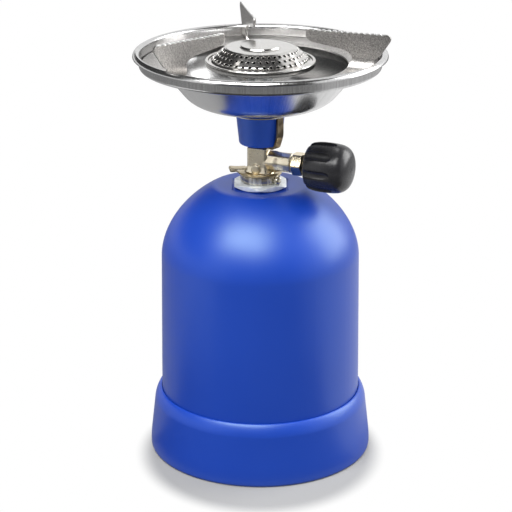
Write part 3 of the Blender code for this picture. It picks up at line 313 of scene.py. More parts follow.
def pressed_steel(name, colour, roughness, streaks, depth, hollow_top, shade_grey):
    """Bright sheet with fine lines that run out from the middle, and painted shade: up-facing faces below a
    height turn a plain grey.
    """
    steel = Finish(name, "stainless", colour, roughness, 1.0)
    lines = steel.spokes(streaks, 3)
    smear = steel.noise(90, 3)
    light = tuple(min(1.0, 1.12 * part) for part in colour)
    dark = tuple(0.86 * part for part in colour)
    normal = steel.node("ShaderNodeTexCoord", output="Normal")
    upwards = steel.node("ShaderNodeSeparateXYZ", sockets={0: normal}, output="Z")
    faces_up = steel.between(upwards, 0.0, HOLLOW_TILT)
    below_top = 1 - steel.between(steel.axis("Z"), hollow_top - MM, hollow_top)
    hollow = faces_up * below_top
    bright = steel.mixed(steel.between(lines, 0.3, 0.7), dark, light)
    steel.cover(steel.mixed(hollow, bright, (shade_grey, shade_grey, shade_grey)),
                roughness + 0.10 * lines + 0.06 * smear - 0.08, lines, depth)
    return steel


# The last value is the grey of the painted shade in each steel's hollow.
DISH_STEEL = pressed_steel("dish_steel", (0.60, 0.60, 0.60), 0.20, 900, 0.010 * MM,
                           base_of("pan_support_ring") - MM, 0.42)
BURNER_STEEL = pressed_steel("burner_steel", (0.66, 0.65, 0.63), 0.17, 500, 0.004 * MM,
                             top_of("burner_body") - BURNER_SHADE_DROP, 0.03)
print("steels:", DISH_STEEL.material.name, BURNER_STEEL.material.name)

# %% Grained steel of the pan support


def grained_steel():
    """Rolled sheet with a coarse grain, which sparkles where light falls along it, and a painted highlight on
    the cut edge.
    """
    steel = Finish("grained_steel", "stainless", (0.55, 0.53, 0.50), 0.30, 1.0)
    grain = steel.noise(2300, 2)
    patch = steel.noise(120, 2)
    # The attribute marks a blade's top rows, which get a near-white colour: a painted highlight along the cut
    # edge.
    cut = steel.node("ShaderNodeAttribute", {"attribute_name": "cut"}, output="Fac")
    sheet = steel.mixed(steel.between(grain, 0.35, 0.65), (0.28, 0.27, 0.26), (0.62, 0.60, 0.58))
    steel.cover(steel.mixed(cut, sheet, (0.95, 0.95, 0.94)),
                0.20 + 0.16 * grain + 0.08 * patch, grain, 0.045 * MM)
    return steel


GRAINED = grained_steel()
print("blades:", GRAINED.material.name)

# %% [markdown]
# **Brass.** The valve's body is forged and then nickel washed, so it is a pale, creamy brass. Its forged
# faces keep a granular skin, and the barrel and the nuts are turned, with fine rings about their axis.
#
# ** Zinc.** The bush is plated with white zinc, which clouds over. The strap and the tab washer are
# passivated yellow, and their colour shifts a little from place to place. The strap gets a much darker brown
# copy of that zinc: painted shade for its place under the dish.

# %% Forged and turned brass


def forged_brass():
    brass = Finish("forged_brass", "brass", (0.70, 0.60, 0.42), 0.30, 1.0)
    skin = brass.noise(1900, 3)
    cloud = brass.noise(160, 2)
    brass.cover(brass.mixed(cloud, (0.68, 0.60, 0.44), (0.88, 0.81, 0.66)),
                0.20 + 0.20 * skin, skin, 0.05 * MM)
    return brass


def turned_brass(name, colour):
    """Brass with fine turning marks: noise that is squeezed along Z."""
    brass = Finish(name, "brass", colour, 0.22, 1.0)
    marks = brass.stretched(4200, (0.02, 0.02, 1.0))
    cloud = brass.noise(220, 2)
    light = tuple(min(1.0, 1.15 * part) for part in colour)
    brass.cover(brass.mixed(cloud, colour, light), 0.14 + 0.12 * cloud + 0.06 * marks, marks, 0.006 * MM)
    return brass


def brass_painted_reflections():
    """Turned brass with painted reflections: dark and light upright stripes, from noise that changes only
    round the axis.
    """
    brass = Finish("brass_painted_reflections", "brass", (0.60, 0.55, 0.45), 0.24, 1.0)
    reflection_stripes = brass.between(brass.spokes(42, 2), 0.32, 0.68)
    brass.cover(brass.mixed(reflection_stripes, (0.40, 0.36, 0.28), (0.84, 0.80, 0.70)), 0.18 + 0.14 * reflection_stripes)
    return brass


FORGED = forged_brass()
BRASS = turned_brass("turned_brass", (0.76, 0.67, 0.49))
PAINTED_REFLECTION_BRASS = brass_painted_reflections()
print("brass:", FORGED.material.name, BRASS.material.name)

# %% White and yellow zinc


def zinc(name, slot, pale, deep, roughness, metallic):
    """Plated steel whose coat clouds from a pale to a deeper colour."""
    plate = Finish(name, slot, pale, roughness, metallic)
    cloud = plate.noise(330, 4)
    speck = plate.noise(2600, 2)
    plate.cover(plate.mixed(plate.between(cloud, 0.3, 0.7), deep, pale),
                roughness - 0.05 + 0.12 * cloud + 0.04 * speck, cloud + 0.3 * speck, 0.02 * MM)
    return plate


WHITE_ZINC = zinc("white_zinc", "zinc", (0.88, 0.92, 0.95), (0.68, 0.73, 0.78), 0.36, 0.35)
# The strap's dark brown copy of the yellow zinc is painted shade.
STRAP_ZINC_PAINTED_SHADE = zinc("strap_zinc_painted_shade", "yellow_zinc", (0.22, 0.175, 0.12), (0.09, 0.07, 0.045), 0.30, 1.0)
YELLOW_ZINC = zinc("yellow_zinc", "yellow_zinc", (0.58, 0.49, 0.33), (0.42, 0.35, 0.22), 0.26, 1.0)
print("zinc:", WHITE_ZINC.material.name, YELLOW_ZINC.material.name)

# %% [markdown]
# **Plastic and rubber.** The knob is moulded in a black plastic with a fine spark-eroded grain. The seals are
# plain black rubber. The cartridge is painted pale grey, with a broad blue band and no print.

# %% Black plastic


def black_plastic():
    plastic = Finish("black_plastic", "black_plastic", (0.020, 0.020, 0.022), 0.26,
                     fixed={"Specular IOR Level": 0.42})
    grain = plastic.noise(3200, 2)
    wear = plastic.noise(150, 2)
    plastic.cover(plastic.mixed(wear, (0.017, 0.017, 0.019), (0.027, 0.027, 0.030)),
                  0.20 + 0.08 * grain + 0.06 * wear, grain, 0.012 * MM)
    return plastic


PLASTIC = black_plastic()
print("knob:", PLASTIC.material.name)

# %% Rubber and cartridge paint
CAN_BAND_EDGE = 0.2 * MM
CAN_BAND_RISE = 18 * MM
CAN_BAND_WIDTH = 28 * MM


def rubber():
    ring = Finish("seal_rubber", "rubber", (0.018, 0.018, 0.018), 0.72)
    bloom = ring.noise(700, 3)
    ring.cover(ring.mixed(bloom, (0.014, 0.014, 0.014), (0.030, 0.030, 0.031)),
               0.64 + 0.16 * bloom, bloom, 0.02 * MM)
    return ring


def can_paint():
    """Pale paint with one broad band between two heights."""
    paint = Finish("can_paint", "can_paint", (0.70, 0.71, 0.72), 0.32,
                   fixed={"Specular IOR Level": 0.5})
    cloud = paint.noise(40)
    height = paint.axis("Z")
    start = base_of("cartridge_can") + CAN_BAND_RISE
    end = start + CAN_BAND_WIDTH
    band = paint.between(height, start, start + CAN_BAND_EDGE)
    band = band * (1 - paint.between(height, end, end + CAN_BAND_EDGE))
    ground = paint.mixed(cloud, (0.66, 0.67, 0.68), (0.74, 0.75, 0.76))
    paint.cover(paint.mixed(band, ground, (0.05, 0.13, 0.42)), 0.28 + 0.08 * cloud)
    return paint


RUBBER = rubber()
CAN_PAINT = can_paint()
print("seals:", RUBBER.material.name, "cartridge:", CAN_PAINT.material.name)

# %% [markdown]
# ## From a formula to a mesh
#
# Most pieces of the stove are turned, pressed or spun, so they are a line of (radius, height) points carried
# round an axis. The same grid does for a nut, because a hexagon is only a radius that varies with the angle.
# One function takes any grid of points and closes it into a mesh, and another carries a line round Z.

# %% A grid of points becomes a piece
TOUCH = 1e-7
SHARP = math.radians(30)


def smoothed(mesh):
    """Shade a mesh smooth but keep its sharp edges."""
    mesh.shade_smooth()
    mesh.set_sharp_from_angle(angle=SHARP)


def grid_faces(rows, columns, around=False, tube=False):
    """Corner numbers of the quads of a grid, each turned so that its front is on the outside."""
    index = np.arange(rows * columns).reshape(rows, columns)
    if around:
        index = np.concatenate([index, index[:, :1]], axis=1)
    if tube:
        index = np.concatenate([index, index[:1]], axis=0)
    corners = (index[:-1, :-1], index[1:, :-1], index[1:, 1:], index[:-1, 1:])
    return np.stack(corners, axis=-1)


def piece_from(name, points, faces, closed=False):
    """A piece from points and quads: doubled points are merged, which closes seams and poles."""
    mesh = bpy.data.meshes.new(name)
    mesh.from_pydata(points.reshape(-1, 3).tolist(), [], faces.reshape(-1, 4).tolist())
    shell = bmesh.new()
    shell.from_mesh(mesh)
    bmesh.ops.remove_doubles(shell, verts=shell.verts, dist=TOUCH)
    if closed:
        bmesh.ops.recalc_face_normals(shell, faces=shell.faces)
    shell.to_mesh(mesh)
    shell.free()
    smoothed(mesh)
    piece = bpy.data.objects.new(name, mesh)
    bpy.context.scene.collection.objects.link(piece)
    return piece


print("a grid of 3 by 4 points has", grid_faces(3, 4).reshape(-1, 4).shape[0], "quads")

# %% A line carried round Z


def full_turn(count):
    """The angles of `count` even steps round Z."""
    return np.arange(count) * math.tau / count


def carried(turn, radius, height):
    """Points about Z: (radius cos turn, radius sin turn, height)."""
    return np.stack(np.broadcast_arrays(radius * np.cos(turn), radius * np.sin(turn), height), axis=-1)


def turned(name, line, sides=128, turn=None, closed=False, place=None, keep=None):
    """Carry a line of (radius, height) points round Z.

    The line runs down the outside, and each radius and height is one value or one for each column.
    """
    turn = full_turn(sides) if turn is None else turn
    radius = np.stack([np.broadcast_to(point[0], turn.shape) for point in line])
    height = np.stack([np.broadcast_to(point[1], turn.shape) for point in line])
    points = carried(turn, radius, height)
    faces = grid_faces(len(points), len(turn), True, closed)
    if keep is not None:
        faces = faces[keep]
    return piece_from(name, place(points) if place else points, faces, closed or keep is None)


print("a point 1 out and 2 up, a quarter turn on:", np.round(carried(math.pi / 2, 1, 2), 3).tolist())

# %% [markdown]
# ## Outlines with soft corners
#
# No real edge is sharp. An outline is given by its corners, and each corner is replaced by a short parabola
# that leaves one run and joins the next, with a reach of its own. A pressed sheet has the same outline twice,
# once for each face, so the second face is the first one moved sideways by the wall.

# %% Rounded corners


def rounded(corners, reach, steps=5, closed=False):
    """Replace each corner by a parabola that starts and ends `reach` away along its two runs."""
    corners = np.asarray(corners, float)
    reach = np.broadcast_to(reach, len(corners))

    def towards(other):
        run = other - corners
        length = np.maximum(np.linalg.norm(run, axis=1), TOUCH)
        return corners + run * (np.minimum(reach, length / 2) / length)[:, None]

    start = towards(np.roll(corners, 1, axis=0))
    end = towards(np.roll(corners, -1, axis=0))
    share = np.linspace(0, 1, steps + 1)[None, :, None]
    curve = (1 - share) ** 2 * start[:, None] + 2 * share * (1 - share) * corners[:, None]
    curve = curve + share ** 2 * end[:, None]
    if not closed:
        curve[0] = corners[0]
        curve[-1] = corners[-1]
    line = curve.reshape(-1, 2)
    fresh = np.linalg.norm(np.diff(line, axis=0), axis=1) > TOUCH
    return line[np.append(True, fresh)]


def refined(line, parts=8):
    """Split each run of a line that is over a millimetre long into equal parts."""
    steps = np.linspace(0, 1, parts + 1)[:-1, None]
    fine = [here + steps * (there - here) if np.linalg.norm(there - here) > MM else here[None]
            for here, there in zip(line[:-1], line[1:])]
    return np.concatenate(fine + [line[-1:]])


unit_square = rounded([(0, 0), (1, 0), (1, 1), (0, 1)], 0.2, closed=True)
print("a rounded square has", len(unit_square), "points")

# %% Pressed sheets, rings and bows
EDGE_SHARE = 0.4


def walled(line, wall):
    """The closed outline of a sheet that lies to the right of a line, with rounded free edges.

    Each point is moved along the mitre of its two runs, which keeps the wall even at the corners.
    """
    line = np.asarray(line, float)
    runs = np.diff(line, axis=0)
    runs /= np.linalg.norm(runs, axis=1)[:, None]
    right = np.stack([runs[:, 1], -runs[:, 0]], axis=1)
    before = np.concatenate([right[:1], right])
    after = np.concatenate([right, right[-1:]])
    mitre = (before + after) / (1 + np.sum(before * after, axis=1))[:, None]
    moved = line + wall * mitre
    moved[line[:, 0] == 0, 0] = 0
    outline = np.concatenate([line, moved[::-1]])
    reach = np.zeros(len(outline))
    free = [index for index in (0, len(line) - 1) if line[index, 0] > 0]
    reach[free + [len(outline) - 1 - index for index in free]] = wall * EDGE_SHARE
    return rounded(outline, reach, closed=True)


def ring_outline(outer, inner, bottom, top, edge, steps=4):
    """The closed outline of a plain ring, down its outside and up its bore, with rounded edges."""
    return rounded([(outer, top), (outer, bottom), (inner, bottom), (inner, top)], edge, steps, closed=True)


def bow(start, end, power, steps=28, hollow=False):
    """A quarter of a superellipse between two points: |x|^power + |y|^power = 1, in shares."""
    angle = np.linspace(0, math.pi / 2, steps + 1)
    across = np.sin(angle) ** (2 / power)
    along = 1 - np.cos(angle) ** (2 / power)
    shares = np.stack([along, across] if hollow else [across, along], axis=1)
    return np.asarray(start) + shares * (np.asarray(end) - np.asarray(start))


print("half way along a round bow:", np.round(bow((0, 1), (1, 0), 2, 2)[1], 3).tolist())

# %% [markdown]
# ## Fitting a piece to the frame
#
# Every finished piece rides on the body that its solid belongs to, so it moves when the stove is opened, and
# it stands for that solid. Cuts and joins are made with a Boolean, which is then settled into the mesh, and
# the tool that made the cut is thrown away.

# %% Fit, cut, join and thicken
EDGE_ANGLE = math.radians(50)


def fit(piece, node, finish):
    """Give a piece its finish and let it stand for a solid of the frame, on the solid's own body."""
    piece.data.materials.clear()
    piece.data.materials.append(finish.material)
    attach(piece, frame["nodes"][node]["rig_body"])
    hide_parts(node)
    print(piece.name, "stands for", node, "with", len(piece.data.polygons), "faces")


def settled(piece):
    """Put what a piece's modifiers make of it into its mesh."""
    bpy.context.view_layer.update()
    shown = piece.evaluated_get(bpy.context.evaluated_depsgraph_get())
    piece.data = bpy.data.meshes.new_from_object(shown)
    piece.modifiers.clear()


def combined(piece, tool, operation):
    """Cut a tool from a piece, or join it, and throw the tool away."""
    step = piece.modifiers.new(operation.lower(), "BOOLEAN")
    step.operation = operation
    step.solver = "EXACT"
    step.object = tool
    settled(piece)
    bpy.data.objects.remove(tool)
    smoothed(piece.data)


def edged(piece, width):
    """Round a piece's sharp edges."""
    edge_step = piece.modifiers.new("edge", "BEVEL")
    edge_step.width = width
    edge_step.segments = 2
    edge_step.limit_method = "ANGLE"
    edge_step.angle_limit = EDGE_ANGLE


def thickened(piece, wall, offset, edge=0.0, even=True):
    """Give a sheet its wall, and round the sheet's edges when an edge is named."""
    wall_step = piece.modifiers.new("wall", "SOLIDIFY")
    wall_step.thickness = wall
    wall_step.offset = offset
    wall_step.use_even_offset = even
    if edge:
        edged(piece, edge)


print("cuts, joins and walls are ready")

# %% [markdown]
# ## The foot
#
# The foot is one deep-drawn cup of blue sheet. From the mouth its skirt rolls over a soft shoulder, flares a
# little and turns under. Inside, the sheet comes up again, makes the ledge that the housing stands on, and
# rises to the platform under the cartridge. Three pins in its inner wall hold the housing.
#
# It could be modelled as a solid with a hollow cut out, but a sheet is easier to trust: one line, one wall.

# %% The foot's line
SHEET = 0.8 * MM
SKIRT_SHOULDER = 6.5 * MM
SKIRT_STEP = 3.6 * MM
SHOULDER_POWER = 1.45
MOUTH_LAND = 0.4 * MM
MOUTH_PLAY = 0.1 * MM
FOOT_CORNER = 1.6 * MM
FOOT_TURN = FOOT_CORNER * 3
FOOT_STEPS = 8
housing_radius = radius_of("housing_shell")
mouth = housing_radius + FIT
mouth_top = top_of("base_cup")
skirt_top = mouth_top - SKIRT_SHOULDER
foot_radius = radius_of("base_cup")
ledge = base_of("housing_shell") - FIT
platform = base_of("cartridge_end") - FIT
guide_radius = housing_radius - SHEET - FIT - SHEET


def foot_line():
    """The foot's lower face, from its mouth down the skirt and up inside to the middle."""
    lip = (housing_radius + MOUTH_PLAY, mouth_top)
    shoulder = bow((mouth + MOUTH_LAND, mouth_top), (housing_radius + SKIRT_STEP, skirt_top),
                   SHOULDER_POWER)
    inner = mouth - SHEET
    corners = [shoulder[-1], (foot_radius, FOOT_TURN), (foot_radius, 0), (inner, 0),
               (inner, ledge - SHEET), (guide_radius, ledge - SHEET),
               (guide_radius, platform - SHEET), (0, platform - SHEET)]
    reach = (0, FOOT_TURN, FOOT_CORNER, FOOT_CORNER, FIT, FIT, FOOT_CORNER, 0)
    return np.concatenate([[lip], shoulder[:-1], rounded(corners, reach, FOOT_STEPS)])


foot = turned("foot_cup", walled(foot_line(), SHEET), sides=160, closed=True)
print("foot, mm:", round(mouth_top / MM, 1), "high,", round(2 * foot_radius / MM, 1), "across")

# %% Bayonet pins
PIN_COUNT = 3
PIN_RADIUS = 1.8 * MM
PIN_HEIGHT = 17.6 * MM
PIN_PROUD = 1.2 * MM
PIN_EDGE = 0.4 * MM
PIN_FIRST_TURN = math.radians(90)
pin_turns = PIN_FIRST_TURN + full_turn(PIN_COUNT)


def outwards(turn, height):
    """A placement that lays an upright piece along a spoke at a height above the ground."""
    spoke = np.array((math.cos(turn), math.sin(turn), 0.0))
    side = np.array((-math.sin(turn), math.cos(turn), 0.0))

    def place(points):
        return points[..., 2:3] * spoke + points[..., 0:1] * side + (points[..., 1:2] + height) * UP

    return place


def bar_line(radius, start, end, edge):
    """A plain bar's line from its far end to its near end, with a rounded edge at the far end."""
    return rounded([(0, end), (radius, end), (radius, start), (0, start)], (0, edge, edge / 4, 0), 4)


pin_line = bar_line(PIN_RADIUS, guide_radius + SHEET / 2, housing_radius + PIN_PROUD, PIN_EDGE)
for pin_turn in pin_turns:
    pin = turned("pin", pin_line, sides=32, place=outwards(pin_turn, PIN_HEIGHT))
    combined(foot, pin, "UNION")
fit(foot, "base_cup", BLUE)

# %% [markdown]
# ## The housing
#
# The housing is a long drawn shell: a straight wall, a dome and a crown with a shallow seat for the bush. A
# superellipse makes the dome, because a plain circle would look too round at the shoulder and too pointed
# on top. The seat is pressed closer at the left and right, so a dark slit shows there beside the bush.
#
# The bayonet slots in its hidden edge are faces that the grid leaves out. For that the grid gets a column and
# a row exactly on each edge of a slot, and one row just above, so that the shading of the wall stays even.

# %% The housing's line
DOME_POWER = 1.82
HOUSING_TAPER = 0.9 * MM
SHOULDER_DROP = 35.1 * MM
APEX_RISE = 6.3 * MM
CROWN_RADIUS = 22.6 * MM
CROWN_ROUND = 1.7 * MM
SEAT_DEPTH = 0.6 * MM
SEAT_SLOPE = 0.7 * MM
SEAT_MARGIN = 1.2 * MM
SEAT_SIDE = 0.5 * MM
SLOT_PLAY = 0.5 * MM
SLOT_ROW_GAP = 2 * FIT
LOCK_TURN = math.radians(25)
DOME_ROWS = 40
# Rows of the straight wall, as shares of the way from the pins up to the shoulder.
WALL_SHARES = (0.95, 0.85, 0.6, 0.3)
SLEEVE_WALL = 2.4 * MM
bush_reach = high("bush_nut")[0]
bush_corner = high("bush_nut")[1]
seat_radius = bush_corner + SEAT_MARGIN
seat_floor = top_of("bush_lock_ring") + FIT + SHEET
crown_top = seat_floor + SEAT_DEPTH
shoulder_height = crown_top - SHOULDER_DROP
STEM_RADIUS = 7.3 * MM
SLEEVE_RADIUS = STEM_RADIUS + FIT + SLEEVE_WALL


def dome(angle):
    """A point of the dome: radius and height follow cos and sin of the angle, raised to 2 / power."""
    radius = (housing_radius - HOUSING_TAPER) * np.cos(angle) ** (2 / DOME_POWER)
    height = shoulder_height + (SHOULDER_DROP + APEX_RISE) * np.sin(angle) ** (2 / DOME_POWER)
    return np.stack([radius, height], axis=-1)


def dome_angle(radius):
    return math.acos((radius / (housing_radius - HOUSING_TAPER)) ** (DOME_POWER / 2))


dome_start = dome_angle(CROWN_RADIUS + 2 * CROWN_ROUND)
crown_corners = [(SLEEVE_RADIUS + FIT, seat_floor), (seat_radius, seat_floor),
                 (seat_radius + SEAT_SLOPE, crown_top), dome(dome_angle(CROWN_RADIUS)), dome(dome_start)]
crown_line = rounded(crown_corners, (0, FIT, SEAT_SLOPE, CROWN_ROUND, 0), 10)
dome_line = dome(np.linspace(dome_start, 0, DOME_ROWS))[1:]
slot_half = PIN_RADIUS + SLOT_PLAY
slot_top = PIN_HEIGHT + slot_half
wall_heights = [shoulder_height * share + PIN_HEIGHT * (1 - share) for share in WALL_SHARES]
wall_heights += [slot_top + SLOT_ROW_GAP, slot_top, PIN_HEIGHT - slot_half, base_of("housing_shell")]
straight = HOUSING_TAPER / (shoulder_height - mouth_top)
wall_line = [(min(housing_radius, housing_radius - (height - mouth_top) * straight), height)
             for height in wall_heights]
housing_line = np.concatenate([crown_line, dome_line, wall_line])
print("housing line:", len(housing_line), "points, crown at", round(crown_top / MM, 2), "mm")

# %% The housing's grid and its slots
HOUSING_COLUMNS = 144
SEAT_FADE = SEAT_SLOPE * 1.5
slot_angle = slot_half / housing_radius
slot_offsets = (-LOCK_TURN - slot_angle, -slot_angle, slot_angle)
slot_edges = [np.mod(pin_turns + offset, math.tau) for offset in slot_offsets]
housing_turn = np.unique(np.concatenate([full_turn(HOUSING_COLUMNS), *slot_edges]))


def seat_shift(radius, turn):
    """How far the seat's wall moves in beside the bush's flats, fading out over the crown."""
    narrow = (bush_reach + SEAT_SIDE) / np.maximum(np.abs(np.cos(turn)), TOUCH)
    narrow = np.minimum(seat_radius, narrow)
    stops = (SLEEVE_RADIUS + FIT, seat_radius - FIT, seat_radius + SEAT_FADE, CROWN_RADIUS - CROWN_ROUND)
    weight = np.interp(radius, stops, (0, 1, 1, 0))
    return weight * (narrow - seat_radius)


def slot_mask():
    """True for each quad of the grid that isn't in a slot's upright leg or in its cross leg."""
    steps = np.diff(np.append(housing_turn, housing_turn[0] + math.tau))
    middle = np.mod(housing_turn + steps / 2, math.tau)
    away = np.mod(middle[None, :] - pin_turns[:, None] + math.pi, math.tau) - math.pi
    leg = np.any(np.abs(away) < slot_angle, axis=0)
    cross = np.any((away > -LOCK_TURN - slot_angle) & (away < slot_angle), axis=0)
    keep = np.ones((len(housing_line) - 1, len(middle)), bool)
    keep[-1] = ~leg
    keep[-2] = ~cross
    return keep


housing_rows = [(radius + seat_shift(radius, housing_turn), height) for radius, height in housing_line]
housing = turned("housing", housing_rows, turn=housing_turn, keep=slot_mask())
thickened(housing, SHEET, -1)
settled(housing)
smoothed(housing.data)
fit(housing, "housing_shell", BLUE)

# %% [markdown]
# ## The bush in the crown
#
# The bush is a hexagon with a sleeve that a ring clamps from inside. Its corners are cut by a cone, as on
# every nut, and where the cone meets the flats the edge dips in a curve. On a grid of angle and radius the
# cone is simple: the top falls with the radius, and the hexagon ends each spoke at its own place.

# %% A nut from a grid
NUT_SLOPE = math.tan(math.radians(30))
HEX_SIDES = 6
HEX_HALF = math.radians(30)
HEX_TURN = full_turn(HEX_SIDES * 20)


def polygon(turn, half, sides, phase, soft):
    """Distance from the middle to a polygon's side: half / cos(angle from the side's middle).

    Its corners are cut by the given softness.
    """
    within = np.mod(turn - phase, math.tau / sides) - math.pi / sides
    return np.minimum(half / np.cos(within), half / math.cos(math.pi / sides) - soft)


def nut_rows(turn, flats, bottom, top, bore, phase, cone, soft):
    """Rows of a nut from the top of its bore over the cone and down its sides to the bore again."""
    side = polygon(turn, flats / 2, HEX_SIDES, phase, soft)
    start = flats / 2 * cone
    drop = np.maximum(0, side - start) * NUT_SLOPE
    return [(bore, top - soft), (bore + soft, top), (start - soft, top), (start, top - soft * NUT_SLOPE / 2),
            (side - soft, top - drop), (side, top - drop - soft), (side, bottom + drop + soft),
            (side - soft, bottom + drop), (start, bottom), (bore, bottom)]


print("a nut has", len(HEX_TURN), "columns")

# %% The bush
BUSH_CONE = 0.99
BUSH_SOFT = 0.15 * MM
bore = STEM_RADIUS + FIT
bush_bottom = seat_floor + FIT
sleeve_end = base_of("bush_nut")
bush_turn = HEX_TURN + HEX_HALF
bush_rows = nut_rows(bush_turn, 2 * bush_reach, bush_bottom, top_of("bush_nut"), bore,
                     HEX_HALF, BUSH_CONE, BUSH_SOFT)[:-1]
bush_rows += [(SLEEVE_RADIUS, bush_bottom), (SLEEVE_RADIUS, sleeve_end + BUSH_SOFT),
              (SLEEVE_RADIUS - BUSH_SOFT, sleeve_end), (bore, sleeve_end)]
bush = turned("bush", bush_rows, turn=bush_turn, closed=True)
fit(bush, "bush_nut", WHITE_ZINC)

# %% The lock ring inside the crown
lock_ring_line = ring_outline(radius_of("bush_lock_ring"), SLEEVE_RADIUS + FIT,
                              base_of("bush_lock_ring"), top_of("bush_lock_ring"), FIT, 5)
fit(turned("lock_ring", lock_ring_line, sides=96, closed=True), "bush_lock_ring", WHITE_ZINC)

# %% [markdown]
# ## The cartridge
#
# Inside stands a plain drawn can, with a small boss that the valve has pierced, and a hollowed end whose seam
# wraps the can's edge. It shows only when the housing is lifted off, and it bears no print.

# %% The can and its end
CAN_WALL = 0.5 * MM
CAN_CORNER = 0.8 * MM
CAN_BOSS_STEP = 2.4 * MM
CAN_BOSS_RADIUS = 8.0 * MM
CAN_SHOULDER_DROP = 28.0 * MM
CAN_HOLE = 1.8 * MM
END_WALL = 0.4 * MM
SEAM_HEIGHT = 3.9 * MM
END_RISE = 4.2 * MM
END_KNEE_SHARE = 0.3
TREAD_INSET = 3.5 * MM
can_top = top_of("cartridge_can")
can_radius = radius_of("cartridge_can")
can_step = can_top - CAN_BOSS_STEP
can_shoulder = bow((CAN_BOSS_RADIUS + CAN_CORNER, can_step), (can_radius, can_top - CAN_SHOULDER_DROP), 2)
can_head = rounded([(CAN_HOLE, can_top), (CAN_BOSS_RADIUS, can_top), (CAN_BOSS_RADIUS, can_step),
                    can_shoulder[1]], (0, CAN_CORNER, CAN_CORNER / 2, 0))
can_line = np.concatenate([can_head, can_shoulder[2:], [(can_radius, base_of("cartridge_can"))]])
fit(turned("cartridge", walled(can_line, CAN_WALL), closed=True), "cartridge_can", CAN_PAINT)

end_bottom = base_of("cartridge_end")
seam_radius = radius_of("cartridge_end")
tread = seam_radius - TREAD_INSET
end_knee = (tread - TREAD_INSET, end_bottom + END_RISE * END_KNEE_SHARE)
end_corners = rounded([(seam_radius, end_bottom + SEAM_HEIGHT), (seam_radius, end_bottom),
                       (tread, end_bottom), end_knee], (0, CAN_CORNER, CAN_CORNER, 0))
end_dish = bow(end_knee, (0, end_bottom + END_RISE), 2, 16)
end_line = np.concatenate([end_corners, end_dish[1:]])
fit(turned("cartridge_base", walled(end_line, END_WALL), closed=True), "cartridge_end", CAN_PAINT)

# %% [markdown]
# ## Collar and tab washer
#
# Under the valve's column a turned brass collar stands on the bush. A small screw sticks out of its side. On
# the collar lies a thin washer, and its tab is a strip folded back on itself, with the fold left open.

# %% The collar and its screw
COLLAR_EDGE = 0.35 * MM
SCREW_TURN = math.radians(-42)
SCREW_RADIUS = 2.0 * MM
SCREW_NECK = 1.4 * MM
SCREW_PROUD = 2.6 * MM
SCREW_SLOT = 0.35 * MM
collar_bottom = base_of("collar_ring")
collar_top = top_of("collar_ring")
collar_radius = -low("collar_ring")[0]
collar_line = ring_outline(collar_radius, bore, collar_bottom, collar_top, COLLAR_EDGE, 6)
collar = turned("collar", collar_line, closed=True)
screw_place = outwards(SCREW_TURN, (collar_bottom + collar_top) / 2)
screw_end = collar_radius + SCREW_PROUD
screw_step = collar_radius + 3 * FIT
screw_start = collar_radius - SCREW_PROUD
screw_line = rounded([(0, screw_end), (SCREW_RADIUS, screw_end), (SCREW_RADIUS, screw_step),
                      (SCREW_NECK, screw_step), (SCREW_NECK, screw_start), (0, screw_start)],
                     (0, SCREW_RADIUS / 2, FIT, 0, 0, 0))
combined(collar, turned("screw", screw_line, sides=40, place=screw_place), "UNION")


def box_piece(name, lowest, highest, place):
    """A closed block between two corners, used as a tool for a cut."""
    lowest = np.array(lowest)
    size = np.array(highest) - lowest
    ring = np.array([(0, 0), (1, 0), (1, 1), (0, 1)], float)
    centre = np.full((4, 2), 0.5)
    rows = [centre, ring, ring, centre]
    grid = np.stack([np.concatenate([row, np.full((4, 1), height)], axis=1)
                     for row, height in zip(rows, (1, 1, 0, 0))])
    return piece_from(name, place(lowest + grid * size), grid_faces(4, 4, True), True)


screw_slot = box_piece("slot", (-SCREW_PROUD * 2, -SCREW_SLOT, screw_end - SCREW_RADIUS / 2),
                       (SCREW_PROUD * 2, SCREW_SLOT, screw_end + SCREW_PROUD), screw_place)
combined(collar, screw_slot, "DIFFERENCE")
# The collar's upright dark and light stripes are painted reflections.
fit(collar, "collar_ring", PAINTED_REFLECTION_BRASS)

# %% The tab washer
WASHER_EDGE = 0.2 * MM
WASHER_WIDTH = 2.8 * MM
WASHER_THICKNESS = 0.8 * MM
TAB_TURN = math.radians(188)
TAB_SHEET = 0.45 * MM
TAB_EDGE = 0.08 * MM
TAB_LOOP = 0.62 * MM
TAB_CREST = 2.3 * TAB_LOOP
TAB_RETURN = 1.7 * TAB_LOOP
TAB_LENGTH = 6 * TAB_LOOP
TAB_RISE = 1.3 * MM
TAB_WIDTH = 4.8 * MM
washer_radius = bore + WASHER_WIDTH
washer_bottom = base_of("tab_washer")
washer_top = washer_bottom + WASHER_THICKNESS
washer_line = ring_outline(washer_radius, bore, washer_bottom, washer_top, WASHER_EDGE)
washer = turned("tab_washer_ring", washer_line, closed=True)


def ribbon(name, path, width, place, columns=9):
    """A strip: each point of a path in the XZ plane is drawn out along Y over the width."""
    across = np.linspace(-width / 2, width / 2, columns)
    path = np.asarray(path, float)
    points = np.stack(np.broadcast_arrays(path[:, 0:1], across[None, :], path[:, 1:2]), axis=-1)
    return piece_from(name, place(points), grid_faces(len(path), columns))


